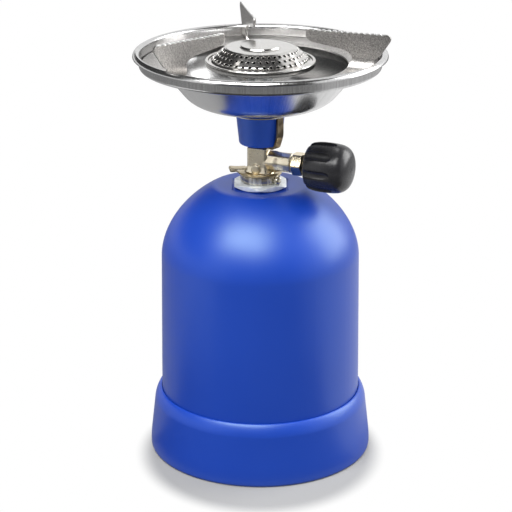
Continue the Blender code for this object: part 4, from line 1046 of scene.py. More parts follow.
tab_tip = -low("tab_washer")[0] / math.cos(TAB_TURN - math.pi)
tab_flat = washer_bottom + WASHER_THICKNESS / 2
tab_low = tab_flat + TAB_RISE
tab_pinch = tab_tip - TAB_LENGTH
tab_path = rounded([(bore + FIT, tab_flat), (washer_radius, tab_flat), (tab_pinch, tab_low),
                    (tab_tip - TAB_LOOP, tab_low - TAB_LOOP / 4),
                    (tab_tip - TAB_SHEET / 2, tab_low + TAB_LOOP), (tab_tip - TAB_LOOP, tab_low + TAB_CREST),
                    (tab_pinch, tab_low + TAB_RETURN), (bore - 2 * FIT, tab_low + TAB_RETURN)],
                   TAB_LOOP * np.array((0, 1, 1, 1, 1, 1, 2, 0)), 8)
tab = ribbon("tab", tab_path, TAB_WIDTH, spun(TAB_TURN))
thickened(tab, TAB_SHEET, 0, TAB_EDGE)
fit(washer, "tab_washer", YELLOW_ZINC)
fit(tab, "tab_washer", YELLOW_ZINC)

# %% [markdown]
# ## The valve's body
#
# The body is one brass forging: a square column, an eight-sided barrel towards the knob and a round boss on
# the front. Forged parts have no sharp inner corners. The plain forms are put into one mesh, wrapped in a
# fine skin of small even faces, and that skin is relaxed, which rounds every meeting line by itself.

# %% Plain forms of the forging
COLUMN_HALF = 5.05 * MM
COLUMN_SOFT = 0.5 * MM
COLUMN_FLARE = 1.0 * MM
BARREL_ROOT = 4.95 * MM
BARREL_TIP = 4.6 * MM
BARREL_START = 3.8 * MM
# The barrel narrows between these shares of its length.
BARREL_NARROWS = (0.5, 0.62)
BARREL_SIDES = 8
BOSS_RADIUS = 2.3 * MM
BOSS_PROUD = 1.5 * MM
BOSS_RISE = 2.1 * MM
GLAND_LENGTH = 5.4 * MM
SKIN = 0.2 * MM
column_bottom = washer_top + FIT
column_top = top_of("valve_body")
barrel_end = reach_of("gland_nut")[1] - GLAND_LENGTH - FIT
fine_turn = full_turn(240)
column_side = polygon(fine_turn, COLUMN_HALF, 4, math.radians(45), COLUMN_SOFT)
column_rows = [(0, column_top), (column_side - COLUMN_SOFT / 2, column_top),
               (column_side, column_top - COLUMN_SOFT / 2), (column_side, column_bottom + 3 * COLUMN_FLARE),
               (column_side + COLUMN_FLARE * 0.6, column_bottom + COLUMN_FLARE),
               (column_side + COLUMN_FLARE, column_bottom), (0, column_bottom)]
forging = turned("valve_forging", column_rows, turn=fine_turn, place=about_valve)
barrel_root = polygon(fine_turn, BARREL_ROOT, BARREL_SIDES, 0, FIT / 2)
barrel_tip = polygon(fine_turn, BARREL_TIP, BARREL_SIDES, 0, FIT / 2)
barrel_rows = [(0, barrel_end), (barrel_tip - 2 * FIT, barrel_end), (barrel_tip, barrel_end - 2 * FIT),
               (barrel_tip, barrel_end * BARREL_NARROWS[1]), (barrel_root, barrel_end * BARREL_NARROWS[0]),
               (barrel_root, BARREL_START), (0, BARREL_START)]
barrel = turned("barrel", barrel_rows, turn=fine_turn, place=along_spindle)
boss_line = bar_line(BOSS_RADIUS, 0, COLUMN_HALF + BOSS_PROUD, BOSS_RADIUS / 3)
front = math.atan2(-ASIDE[1], -ASIDE[0])
boss = turned("boss", boss_line, sides=48, place=outwards(front, column_bottom + BOSS_RISE))
print("column, mm:", round((column_top - column_bottom) / MM, 2), "high")

# %% Skin and relax the forging


def skinned(piece, others, size, relax):
    """Put pieces into one mesh, wrap it in even faces of the given size, and relax the skin."""
    shell = bmesh.new()
    for part in [piece] + others:
        shell.from_mesh(part.data)
    shell.to_mesh(piece.data)
    shell.free()
    for part in others:
        bpy.data.objects.remove(part)
    wrap = piece.modifiers.new("skin", "REMESH")
    wrap.mode = "VOXEL"
    wrap.voxel_size = size
    wrap.use_smooth_shade = True
    soften = piece.modifiers.new("relax", "SMOOTH")
    soften.factor = 0.5
    soften.iterations = relax
    settled(piece)


skinned(forging, [barrel, boss], SKIN, 5)
forging.data.shade_smooth()
fit(forging, "valve_body", FORGED)

# %% [markdown]
# ## The stem and its thread
#
# The stem screws into the bush. A thread is a ridge that climbs one pitch in each turn, so on the grid the
# radius swells with `height / pitch - angle / turn`, which rises to the right as a right-hand thread does.

# %% The threaded stem
PITCH = 1.5 * MM
THREAD_DEPTH = 0.45 * MM
THREAD_ROWS = 10
RIDGE_SLOPE = 2.6
RIDGE_FLAT = 0.15
STEM_HOLE = 1.8 * MM
STEM_HOLE_DEPTH = 5 * MM
stem_bottom = base_of("valve_body")
stem_top = column_bottom + SKIN
stem_turn = full_turn(96)


def threaded(bottom, top, radius, turn):
    """Rows of a thread from top to bottom, its ridge running out smoothly at both ends."""
    heights = np.linspace(top, bottom, round((top - bottom) / PITCH * THREAD_ROWS))
    rows = []
    for height in heights:
        climb = np.mod(height / PITCH - turn / math.tau, 1)
        ridge = np.clip(RIDGE_SLOPE * np.abs(climb - 0.5) - RIDGE_FLAT, 0, 1)
        fade = min(1, (height - bottom) / PITCH, (top - height) / PITCH)
        rows.append((radius - THREAD_DEPTH * (1 - (1 - ridge) * max(0, fade)), height))
    return rows


hole_end = stem_bottom + STEM_HOLE_DEPTH
stem_rows = [(0, stem_top)] + threaded(stem_bottom, stem_top, STEM_RADIUS, stem_turn)
stem_rows += [(STEM_HOLE, stem_bottom), (STEM_HOLE, hole_end), (0, hole_end)]
stem = turned("valve_stem", stem_rows, turn=stem_turn)
fit(stem, "valve_body", BRASS)

# %% [markdown]
# ## Gland nut and spindle
#
# The gland nut screws into the barrel's end and presses a packing round the spindle. It is a nut like the
# bush, only laid along the spindle with a corner on top.

# %% The gland nut and the spindle
GLAND_FLATS = 10.2 * MM
GLAND_CONE = 0.96
SPINDLE_RADIUS = 2.3 * MM
CHAMBER_RADIUS = 4.0 * MM
HEAD_LENGTH = 1.9 * MM
spindle_bore = SPINDLE_RADIUS + FIT
inside_chamber = CHAMBER_RADIUS - FIT
gland_start, gland_end, _ = reach_of("gland_nut")
gland_back = gland_end - GLAND_LENGTH
gland_rows = nut_rows(HEX_TURN, GLAND_FLATS, gland_back, gland_end, spindle_bore,
                      HEX_HALF, GLAND_CONE, BUSH_SOFT)[:-1]
gland_rows += [(inside_chamber, gland_back), (inside_chamber, gland_start), (spindle_bore, gland_start)]
fit(turned("gland", gland_rows, turn=HEX_TURN, closed=True, place=along_spindle), "gland_nut", BRASS)

head_start, spindle_end, _ = reach_of("valve_spindle")
head_end = head_start + HEAD_LENGTH
spindle_line = rounded([(0, spindle_end), (SPINDLE_RADIUS, spindle_end), (SPINDLE_RADIUS, head_end),
                        (inside_chamber, head_end), (inside_chamber, head_start), (0, head_start)],
                       (0, FIT, FIT, FIT, FIT, 0))
fit(turned("spindle", spindle_line, sides=48, place=along_spindle), "valve_spindle", BRASS)

# %% [markdown]
# ## The knob
#
# The knob is moulded: a barrel that narrows at the back and has a long soft nose, and eight scooped flutes
# for the fingers, each with a crisp edge and a rounded tip before the nose. A flute is a little fuller than
# half an ellipse across its width, and towards the tip the width shrinks to nothing along a quarter of
# an ellipse.

# %% The knob
FLUTES = 8
FLUTE_COLUMNS = 44
FLUTE_HALF = 2.25 * MM
FLUTE_DEPTH = 1.7 * MM
FLUTE_LENGTH = 14.2 * MM
FLUTE_RUN_IN = 2.5 * MM
FLUTE_RISE = math.radians(39.5)
TIP_LENGTH = 3.4 * MM
SCOOP_POWER = 0.42
TIP_POWER = 0.7
FLUTED_SHARE = 0.7
KNOB_SHRINK = 0.5 * MM
NOSE_PROUD = 1.3 * MM
TAIL_PROUD = 0.5 * MM
# Corners of the knob's outline: (share of its radius, share of its length behind the nose).
KNOB_SHARES = ((0.62, 0.03), (0.93, 0.17), (1.0, 0.42), (0.995, 0.76), (0.92, 0.94), (0.80, 1.0))
KNOB_ROUNDS = np.array((0, 5.0, 4.0, 4.0, 3.0, 1.2, 1.2, 0, 0, 0)) * MM
knob_back, knob_front, knob_radius = reach_of("control_knob")
knob_radius -= KNOB_SHRINK
knob_front += NOSE_PROUD
knob_back -= TAIL_PROUD
tip_reach = knob_back + FLUTE_LENGTH


def knob_line():
    """From the middle of the crowned face over the nose and the barrel down to the bore in the back."""
    length = knob_front - knob_back
    corners = [(0, knob_front)]
    corners += [(knob_radius * out, knob_front - length * back) for out, back in KNOB_SHARES]
    corners += [(spindle_bore, knob_back), (spindle_bore, spindle_end + FIT), (0, spindle_end + FIT)]
    return refined(rounded(corners, KNOB_ROUNDS, 10))


def fluted(line, turn):
    """Sink the flutes into a turned line: each is (1 - across^2)^power deep, and fades at both ends."""
    pitch = math.tau / FLUTES
    away = np.mod(turn + math.pi / 2 + FLUTE_RISE + pitch / 2, pitch) - pitch / 2
    rows = []
    for radius, reach in line:
        past = np.clip((reach - tip_reach + TIP_LENGTH) / TIP_LENGTH, 0, 1)
        half = FLUTE_HALF * math.sqrt(1 - past ** 2) if radius > knob_radius * FLUTED_SHARE else 0
        scoop = np.clip(1 - (away * knob_radius / max(half, TOUCH)) ** 2, 0, 1)
        fade = min(1, max(0, (reach - knob_back) / FLUTE_RUN_IN)) ** 0.5
        depth = FLUTE_DEPTH * (half / FLUTE_HALF) ** TIP_POWER * fade
        rows.append((radius - scoop ** SCOOP_POWER * depth, reach))
    return rows


knob_turn = full_turn(FLUTES * FLUTE_COLUMNS)
knob = turned("knob", fluted(knob_line(), knob_turn), turn=knob_turn, place=along_spindle)
fit(knob, "control_knob", PLASTIC)

# %% [markdown]
# ## Strap, cup and washer
#
# A U-shaped strap stands on the column and carries the dish. Inside it sits a blue cup that keeps wind off
# the jet, and a bright washer closes the cup under the dish. The strap is a ribbon along its path, with a
# wall and a small edge.

# %% The strap
STRAP_SHEET = 0.9 * MM
STRAP_EDGE = 0.12 * MM
STRAP_PROUD = 0.5 * MM
STRAP_PLAY = 0.4 * MM
STRAP_WIDTH = 4.2 * MM
STRAP_TURN = math.radians(-42)
STRAP_CAD_HALF = 2.7 * MM
STRAP_FOOT_INSET = 2.2 * MM
STRAP_KNEE = 7.0 * MM
STRAP_ROUNDS = np.array((0, 1.5, 1.6, 0, 1.6, 1.5, 0)) * MM
LUG_WIDTH = 3.6 * MM
LUG_ROOT = 2 * MM
LUG_HALF = STRAP_SHEET * 0.4
strap_bottom = base_of("support_bracket")
strap_reach = (high("support_bracket")[0] - STRAP_CAD_HALF * abs(OUT[1])) / OUT[0] + STRAP_PROUD
about_strap = spun(STRAP_TURN)
plate_low = base_of("dish_washer")
strap_top = plate_low - STRAP_PLAY
half_sheet = STRAP_SHEET / 2
arm_middle = strap_reach - half_sheet
half_path = [(0, strap_bottom + half_sheet),
             (strap_reach - STRAP_FOOT_INSET - half_sheet, strap_bottom + half_sheet),
             (arm_middle, strap_bottom + STRAP_KNEE), (arm_middle, strap_top)]
strap_corners = [(-x, z) for x, z in half_path[:0:-1]] + half_path
strap = ribbon("strap", rounded(strap_corners, STRAP_ROUNDS, 6), STRAP_WIDTH, about_strap)
thickened(strap, STRAP_SHEET, 0)
settled(strap)


def lug_blocks(bottom, top, play):
    """Two upright blocks where the strap's lugs are, each wider than a lug by the play."""
    for side in (-1, 1):
        lug_middle = side * arm_middle
        low_corner = (lug_middle - LUG_HALF - play, -LUG_WIDTH / 2 - play, bottom)
        high_corner = (lug_middle + LUG_HALF + play, LUG_WIDTH / 2 + play, top)
        yield box_piece("lug", low_corner, high_corner, about_strap)


for lug in lug_blocks(strap_top - LUG_ROOT, top_of("support_bracket"), 0.0):
    combined(strap, lug, "UNION")
edged(strap, STRAP_EDGE)
fit(strap, "support_bracket", STRAP_ZINC_PAINTED_SHADE)

# %% The cup
CUP_SHEET = 0.6 * MM
CUP_FLARE = 1.7 * MM
CUP_CORNER = 1.2 * MM
CUP_LIP = 0.5 * MM
CUP_PLAY = 0.15 * MM
JET_HOLE = 2.4 * MM
cup_top = top_of("burner_cup")
cup_bottom = base_of("burner_cup")
cup_radius = strap_reach - STRAP_SHEET - CUP_PLAY
cup_line = rounded([(cup_radius, cup_top), (cup_radius - CUP_LIP / 2, cup_top - CUP_LIP),
                    (cup_radius - CUP_FLARE, cup_bottom), (JET_HOLE, cup_bottom)],
                   (0, CUP_LIP / 2, CUP_CORNER, 0), 8)
fit(turned("cup", walled(cup_line, CUP_SHEET), closed=True), "burner_cup", CUP_BLUE_LIT_AGAINST_SHADE)

# %% The washer under the dish, with slots for the strap's lugs
TUBE_RADIUS = 5.4 * MM
RING_EDGE = 0.2 * MM
plate_high = top_of("dish_washer")
plate_line = ring_outline(-low("dish_washer")[0], TUBE_RADIUS + FIT, plate_low, plate_high, RING_EDGE)
plate = turned("dish_plate", plate_line, closed=True)
for slot in lug_blocks(plate_low - FIT, plate_high + FIT, FIT):
    combined(plate, slot, "DIFFERENCE")
fit(plate, "dish_washer", BURNER_STEEL)

# %% [markdown]
# ## The drip dish
#
# The dish is pressed from one bright sheet: a deep bowl that catches spills, a flat shelf for the ring, an
# upright band and a lip that rolls outwards. The bowl is a shallow cone below and a steep one above, with a
# soft knee between them, and the steep cone is what mirrors the blue housing.

# %% The dish
DISH_SHEET = 0.6 * MM
SHELF_WIDTH = 10.9 * MM
KNEE_RADIUS = 33.2 * MM
KNEE_RISE = 5.3 * MM
DISH_ROUNDS = np.array((0, 1.5, 5.0, 0.9, 1.1, 0)) * MM
LIP_ROLL = 1.9 * MM
LIP_REACH = 2.9 * MM
LIP_DROP = 2.2 * MM
FLOOR_BORDER = 0.6 * MM
dish_floor = base_of("drip_dish")
lip_radius = radius_of("drip_dish")
band_radius = lip_radius - LIP_REACH
bowl_radius = band_radius - SHELF_WIDTH
dish_top = top_of("drip_dish")
shelf = base_of("pan_support_ring") - FIT
floor_radius = strap_reach + FLOOR_BORDER


def dish_line():
    """The dish's upper face, from the hole over the bowl, shelf and band to the rolled lip."""
    floor = dish_floor + DISH_SHEET
    wall = band_radius - DISH_SHEET
    corners = [(TUBE_RADIUS + FIT, floor), (floor_radius, floor), (KNEE_RADIUS, floor + KNEE_RISE),
               (bowl_radius, shelf), (wall, shelf), (wall, dish_top - LIP_ROLL)]
    pressed = refined(rounded(corners, DISH_ROUNDS, 12))
    roll = bow((wall, dish_top - LIP_ROLL), (wall + LIP_ROLL, dish_top), 2, 10, hollow=True)
    drop = bow((lip_radius - LIP_DROP, dish_top), (lip_radius, dish_top - LIP_DROP), 2, 12)[4:]
    return np.concatenate([pressed, roll[1:], drop])


dish = turned("dish", walled(dish_line(), DISH_SHEET), sides=192, closed=True)
for slot in lug_blocks(dish_floor - FIT, dish_floor + DISH_SHEET + FIT, FIT):
    combined(dish, slot, "DIFFERENCE")
fit(dish, "drip_dish", DISH_STEEL)

# %% [markdown]
# ## Mixing tube and its nut
#
# Gas from the jet draws air into the flared mouth of the mixing tube. The tube's flange lies under the washer
# and a thin nut over the dish clamps both. Little of this shows, but it is what carries the burner.

# %% The mixing tube and its nut
TUBE_WALL = 0.7 * MM
TUBE_FLANGE = 2.4 * MM
TUBE_FLANGE_SHEET = 0.8 * MM
TUBE_FLARE = 1.4 * MM
TUBE_MOUTH = 2.0 * MM
NUT_SOFT = 0.2 * MM
tube_bottom = base_of("mixing_tube")
tube_top = top_of("mixing_tube")
tube_bore = TUBE_RADIUS - TUBE_WALL
mouth_end = tube_bottom + TUBE_MOUTH
flare_radius = TUBE_RADIUS + TUBE_FLARE
flange_radius = TUBE_RADIUS + TUBE_FLANGE
flange_top = plate_low - FIT
flange_bottom = flange_top - TUBE_FLANGE_SHEET
tube_corners = [(TUBE_RADIUS, tube_top), (TUBE_RADIUS, flange_top), (flange_radius, flange_top),
                (flange_radius, flange_bottom), (TUBE_RADIUS, flange_bottom), (TUBE_RADIUS, mouth_end),
                (flare_radius, tube_bottom), (flare_radius - TUBE_WALL, tube_bottom),
                (tube_bore, mouth_end), (tube_bore, tube_top)]
tube_line = rounded(tube_corners, RING_EDGE, 4, closed=True)
fit(turned("venturi", tube_line, sides=96, closed=True), "mixing_tube", BURNER_STEEL)
tube_nut_rows = nut_rows(HEX_TURN, 2 * high("tube_nut")[1], base_of("tube_nut"), top_of("tube_nut"),
                         TUBE_RADIUS + FIT, 0, BUSH_CONE, NUT_SOFT)
fit(turned("thin_nut", tube_nut_rows, turn=HEX_TURN, closed=True), "tube_nut", WHITE_ZINC)

# %% [markdown]
# ## The burner
#
# The burner's body is spun like a horn. Its rim folds over the cap's flange and clamps it, which shows as a
# bright ring round the cap.

# %% The burner's horn
BURNER_SHEET = 0.5 * MM
CAP_SHEET = 0.5 * MM
NECK_RADIUS = 6.4 * MM
NECK_LENGTH = 3.2 * MM
RIM_HEIGHT = 2.3 * MM
RIM_ROUNDS = np.array((0, 0.7, 0.6, 0)) * MM
HORN_POWER = 1.45
CRIMP_REACH = 1.5 * MM
neck_bottom = base_of("burner_body")
rim_bottom = top_of("burner_body") - RIM_HEIGHT
burner_radius = radius_of("burner_body")
horn = bow((NECK_RADIUS, neck_bottom + NECK_LENGTH), (burner_radius, rim_bottom), HORN_POWER, 36, hollow=True)
crimp_top = base_of("burner_cap") + CAP_SHEET + FIT / 3 + BURNER_SHEET
rim = rounded([(burner_radius - CRIMP_REACH, crimp_top), (burner_radius, crimp_top),
               (burner_radius, rim_bottom), horn[-4]], RIM_ROUNDS, 8)
horn_line = np.concatenate([rim, horn[-5::-1], [(NECK_RADIUS, neck_bottom)]])
horn_piece = turned("burner_horn", walled(horn_line, BURNER_SHEET), sides=160, closed=True)
fit(horn_piece, "burner_body", BURNER_STEEL)

# %% [markdown]
# ## The burner's cap
#
# The cap has a raised middle, a flat shoulder and a cone with three staggered rows of flame holes. Cutting
# over a hundred holes with Booleans is slow and leaves long thin faces. Here the cone is tiled: each tile is
# a square of the cone with a round hole, sixteen points on the circle joined to sixteen on the square. Rows
# are staggered by half a tile, and the points on the edges still meet, because half a tile is two steps.

# %% The cap's sizes
CAP_HOLES = 42
CAP_ROWS = 3
CAP_HOLE = 0.92 * MM
CAP_LAND = 0.9 * MM
CAP_SINK = 0.10 * MM
TILE_SIDE = 4
TILE_RING = 4 * TILE_SIDE
CAP_FLANGE = 1.6 * MM
CAP_SLOPE_RUN = 7.7 * MM
CAP_BOSS_HEIGHT = 1.0 * MM
CAP_BOSS_SLOPE = 0.6 * MM
CAP_BOSS_SHARE = 0.585
cap_rim = radius_of("burner_cap")
cap_foot_radius = cap_rim - CAP_FLANGE
cap_top_radius = cap_foot_radius - CAP_SLOPE_RUN
cap_foot = base_of("burner_cap") + CAP_SHEET
cap_top = top_of("burner_cap") - CAP_BOSS_HEIGHT
cap_boss = cap_top_radius * CAP_BOSS_SHARE
cone_length = math.hypot(CAP_SLOPE_RUN, cap_top - cap_foot)
cone_turn = math.atan2(cap_top - cap_foot, CAP_SLOPE_RUN)
print("the cap's cone falls by", round(math.degrees(cone_turn), 1), "degrees")

# %% The cap's cone in tiles


def cone_point(turn, down, sunk):
    """A point of the cone at an angle, a distance down its slope, and a depth under its face."""
    radius = cap_top_radius + down * math.cos(cone_turn) - sunk * math.sin(cone_turn)
    height = cap_top - down * math.sin(cone_turn) - sunk * math.cos(cone_turn)
    return carried(turn, radius, height)


def square_ring():
    """Sixteen points round a square from -1 to 1, and the same number round a circle."""
    step = full_turn(TILE_RING)
    circle = np.stack([np.cos(step), np.sin(step)], axis=1)
    edge = np.clip(np.round(circle / np.abs(circle).max(axis=1, keepdims=True) * 2) / 2, -1, 1)
    return edge, circle


def cone_tiles():
    """All tiles at once: an array of row, hole, ring and point."""
    edge, circle = square_ring()
    tile_down = (cone_length - 2 * CAP_LAND) / CAP_ROWS
    tile_turn = math.tau / CAP_HOLES
    row = np.arange(CAP_ROWS)[:, None, None]
    hole = np.arange(CAP_HOLES)[None, :, None]
    down = CAP_LAND + (row + 0.5) * tile_down
    turn = (hole + row / 2) * tile_turn
    rings = []
    for radius, sunk in ((CAP_HOLE, CAP_SINK), (CAP_HOLE + CAP_SINK, 0.0)):
        place = down + radius * circle[:, 1]
        far = cap_top_radius + place * math.cos(cone_turn)
        rings.append(cone_point(turn + radius * circle[:, 0] / far, place, sunk))
    rings.append(cone_point(turn + edge[:, 0] * tile_turn / 2, down + edge[:, 1] * tile_down / 2, 0.0))
    points = np.stack(rings, axis=2)
    first = len(rings) * TILE_RING * np.arange(CAP_ROWS * CAP_HOLES)
    faces = grid_faces(len(rings), TILE_RING, True) + first[:, None, None, None]
    return points.reshape(-1, 3), faces.reshape(-1, 4)


tile_points, tile_faces = cone_tiles()
print("the cone has", len(tile_faces), "faces round", CAP_ROWS * CAP_HOLES, "holes")

# %% The cap's middle and flange, joined to the cone
CAP_TOP_ROUNDS = np.array((0, 0, 0.35, 0.35, 0.8, 0)) * MM
CAP_FOOT_ROUNDS = np.array((0, 0.7, 0)) * MM
cap_turn = full_turn(CAP_HOLES * TILE_SIDE)
land_out = CAP_LAND * math.cos(cone_turn)
land_down = CAP_LAND * math.sin(cone_turn)
boss_top = cap_top + CAP_BOSS_HEIGHT
top_line = rounded([(0, boss_top), (cap_boss / 2, boss_top), (cap_boss, boss_top),
                    (cap_boss + CAP_BOSS_SLOPE, cap_top), (cap_top_radius, cap_top),
                    (cap_top_radius + land_out, cap_top - land_down)], CAP_TOP_ROUNDS, 6)
rim_line = rounded([(cap_foot_radius - land_out, cap_foot + land_down), (cap_foot_radius, cap_foot),
                    (cap_rim, cap_foot)], CAP_FOOT_ROUNDS, 6)
cap_points, cap_faces = [tile_points], [tile_faces]
for line in (top_line, rim_line):
    first = sum(len(part) for part in cap_points)
    cap_faces.append(grid_faces(len(line), len(cap_turn), True).reshape(-1, 4) + first)
    cap_points.append(carried(cap_turn, line[:, 0:1], line[:, 1:2]).reshape(-1, 3))
cap = piece_from("flame_cap", np.concatenate(cap_points), np.concatenate(cap_faces))
thickened(cap, CAP_SHEET, -1)
fit(cap, "burner_cap", BURNER_STEEL)

# %% [markdown]
# ## Ring and blades
#
# The pan support is one pressing: a flat ring that lies on the dish's shelf, and three blades that are bent
# up from it. A blade leaves the ring in a round bend and stands upright along a spoke. It reaches in over the
# bowl and out over the lip, and its top edge is cut into small teeth that grip the pan.
#
# The blade is a grid too. Its rows climb through the bend and then straight up, and each row runs from the
# inner to the outer edge at its height. The blades are bent by hand, so each one stands a little differently:
# the table names its direction, its sideways shift, how much lower its top is, and its bend's radius.

# %% Sizes of the ring and the blades
RING_SHEET = 1.0 * MM
BLADE_SHEET = 1.0 * MM
BLADE_FOOT = 1.5 * MM
BLADE_ROOT_INSET = 4.0 * MM
BLADE_EDGE = 0.1 * MM
BLADE_CORNER = 2 * MM
# Corners of a blade's two edges: (mm out from the middle, mm above the blade's top).
BLADE_INNER = ((45.4, -13.0), (45.2, -11.6), (43.6, -9.8), (40.0, -8.4),
               (24.8, -6.2), (22.2, -4.0), (22.7, -0.6), (24.4, 0))
BLADE_OUTER = ((55.9, -13.0), (58.3, -11.0), (61.2, -6.6), (63.8, -2.6), (63.0, -0.8), (61.4, 0))
BLADE_TEETH = 14
TOOTH_STEPS = 6
TOOTH_DEPTH = 0.65 * MM
TOOTH_FADE = 2.0 * MM
TOOTH_POWER = 0.7
END_FADE = 12
TOP_EDGE_HIGHLIGHT_SHARE = 0.97
BEND_ROWS = 15
BLADE_ROWS = 34
# Each blade's direction in degrees, then its shift, its drop and its bend's radius in mm.
BLADES = ((-20, 0.0, 0.3, 7.2), (100, -1.3, 2.0, 3.0), (220, 0.9, 0.8, 7.2))
RING_PLAY = 0.6 * MM
RING_OVERLAP = 5.1 * MM
ring_outer = band_radius - DISH_SHEET - RING_PLAY
ring_inner = bowl_radius - RING_OVERLAP
ring_bottom = base_of("pan_support_ring")
blade_top = top_of("pan_support_ring")
blade_root = ring_inner + BLADE_ROOT_INSET
ring_middle = ring_bottom + RING_SHEET / 2
print("ring, mm:", round(ring_inner / MM, 1), "to", round(ring_outer / MM, 1), "from the middle")

# %% Rows of a blade


def edge_at(heights, corners):
    """A blade's edge: its corners are rounded, and its distance out is read off at each height."""
    line = rounded(np.array(corners) * MM + (0, blade_top), BLADE_CORNER, 6)
    return np.interp(heights, line[:, 1], line[:, 0])


def blade_points(reach):
    """Rows of a blade: a foot on the ring, a quarter bend of radius `reach`, and the upright sheet.

    A tooth's notch is depth * (1 - |sin|^power) deep, and its tips reach the blade's top.
    """
    knee = ring_middle + reach
    bend = np.linspace(0, math.pi / 2, BEND_ROWS)
    upright = np.linspace(knee, blade_top, BLADE_ROWS)[1:]
    heights = np.concatenate([[ring_middle], ring_middle + reach * (1 - np.cos(bend)), upright])
    across = np.concatenate([[-reach - BLADE_FOOT], reach * (np.sin(bend) - 1), 0 * upright])
    rise = np.concatenate([[0], np.linspace(0, 1, BEND_ROWS), 1 + 0 * upright])
    inner = np.where(heights < knee, ring_inner + FIT + rise * (blade_root - ring_inner - FIT),
                     edge_at(heights, BLADE_INNER))
    on_ring = np.sqrt(ring_outer ** 2 - across ** 2) - FIT
    outer = np.where(heights < knee, on_ring, edge_at(heights, BLADE_OUTER))
    share = np.linspace(0, 1, BLADE_TEETH * TOOTH_STEPS + 1)
    along = inner[:, None] + (outer - inner)[:, None] * share
    tooth = np.abs(np.sin(share * BLADE_TEETH * math.pi))
    ends = np.clip(END_FADE * np.minimum(share, 1 - share), 0, 1)
    notch = TOOTH_DEPTH * (1 - tooth ** TOOTH_POWER) * ends
    near_top = np.clip((heights - blade_top + TOOTH_FADE) / TOOTH_FADE, 0, 1)
    height = heights[:, None] - notch * near_top[:, None]
    return np.stack(np.broadcast_arrays(along, across[:, None], height), axis=-1)


print("a blade has", blade_points(MM).shape[0], "rows")

# %% The pan support
ring_line = ring_outline(ring_outer, ring_inner, ring_bottom, ring_bottom + RING_SHEET, RING_EDGE, 3)
support = turned("pan_ring", ring_line, sides=192, closed=True)
fit(support, "pan_support_ring", GRAINED)
for number, (blade_turn, shift, drop, bend_radius) in enumerate(BLADES):
    places = blade_points(bend_radius * MM) + (0, shift * MM, 0)
    places[..., 2] -= drop * MM * np.clip((places[..., 2] - ring_middle) / (blade_top - ring_middle), 0, 1)
    places = spun(math.radians(blade_turn))(places)
    blade = piece_from("blade_%d" % number, places, grid_faces(*places.shape[:2]))
    # The top rows are marked for the painted highlight along the blade's cut edge.
    cut = blade.data.attributes.new("cut", "FLOAT", "POINT")
    rows_up = np.arange(places.shape[0]) / (places.shape[0] - 1)
    cut.data.foreach_set("value", np.repeat(rows_up > TOP_EDGE_HIGHLIGHT_SHARE, places.shape[1]).astype(np.float32))
    thickened(blade, BLADE_SHEET, 0, BLADE_EDGE, even=False)
    fit(blade, "pan_support_ring", GRAINED)

# %% [markdown]
# ## The small pieces inside
#
# The seal, the packing, the pad, the piercing pin and the jet are simple turned pieces whose solids already
# have the right shape. They keep those solids and only get a finish.

# %% Finishes for the hidden pieces
for node, finish in (("valve_seal", RUBBER), ("gland_packing", RUBBER), ("seat_pad", RUBBER),
                     ("piercing_pin", BURNER_STEEL), ("jet", BRASS)):
    frame["nodes"][node].data.materials.clear()
    frame["nodes"][node].data.materials.append(finish.material)
    print(node, "gets", finish.material.name)

# %% [markdown]
# ## Floor, lamps and camera
#
# The stove stands on plain white. The floor is grey, matt paper, and to the camera it also glows, which turns
# it white. The glow fades out in an oval under the foot that is shifted to the front, where the dark paper
# shows as a painted shadow along with the foot's real soft shadow.
#
# Steel shows what stands round it, and in an empty white room it would read as white. So dark, grey and
# bright cards lie on the floor and stand round the stove. Only reflections see them.

# %% Floor
WHITE = (1.0, 1.0, 1.0)
FLOOR_HALF = 3.0
FLOOR_GLOW = 0.05
# The painted shadow: an oval under the foot, shifted to the front, where the glow fades out and the dark grey
# paper shows.
PAINTED_SHADOW_MIDDLE = -0.013
PAINTED_SHADOW_HALF = (0.0575, 0.066)
FADE_START = 0.90
FADE_END = 1.10


def level_points(corner, far_corner, height):
    """Nine points of a level rectangle between two corners."""
    x, y = np.meshgrid(np.linspace(corner[0], far_corner[0], 3), np.linspace(corner[1], far_corner[1], 3))
    return np.stack([x, y, np.full(x.shape, height)], axis=-1)


floor_points = level_points((-FLOOR_HALF, -FLOOR_HALF), (FLOOR_HALF, FLOOR_HALF), 0.0)
floor = piece_from("floor", floor_points, grid_faces(3, 3)[..., ::-1])
ground = Finish("floor_paper", "floor", (0.24, 0.24, 0.24), 0.9)
camera_ray = ground.node("ShaderNodeLightPath", output="Is Camera Ray")
centred = ground.vector("SUBTRACT", ground.place(), (0.0, PAINTED_SHADOW_MIDDLE, 0.0))
scaled = ground.vector("MULTIPLY", centred, (1 / PAINTED_SHADOW_HALF[0], 1 / PAINTED_SHADOW_HALF[1], 0.0))
away = ground.node("ShaderNodeVectorMath", {"operation": "LENGTH"}, {0: scaled}, "Value")
shine = camera_ray * (FLOOR_GLOW + (1 - FLOOR_GLOW) * ground.between(away, FADE_START, FADE_END))
glow = ground.node("ShaderNodeEmission", sockets={"Color": WHITE, "Strength": 1.0})
paper = Signal(ground, ground.shader.outputs[0])
blend = ground.node("ShaderNodeMixShader", sockets={0: shine, 1: paper, 2: glow})
ground.fill(ground.tree.nodes["Material Output"].inputs["Surface"], blend)
floor.data.materials.append(ground.material)
print("floor:", 2 * FLOOR_HALF, "m across")

# %% Cards that only the metal and the paint mirror


def card(name, points, radiance):
    """A card that is seen in reflections only."""
    piece = piece_from(name, points, grid_faces(*points.shape[:2]))
    paint = Finish(name + "_paint", "card", (0.0, 0.0, 0.0), 1.0,
                   fixed={"Emission Color": WHITE, "Emission Strength": radiance})
    piece.data.materials.append(paint.material)
    piece.visible_camera = False
    piece.visible_diffuse = False
    piece.visible_shadow = False
    print(name, "has a radiance of", radiance)


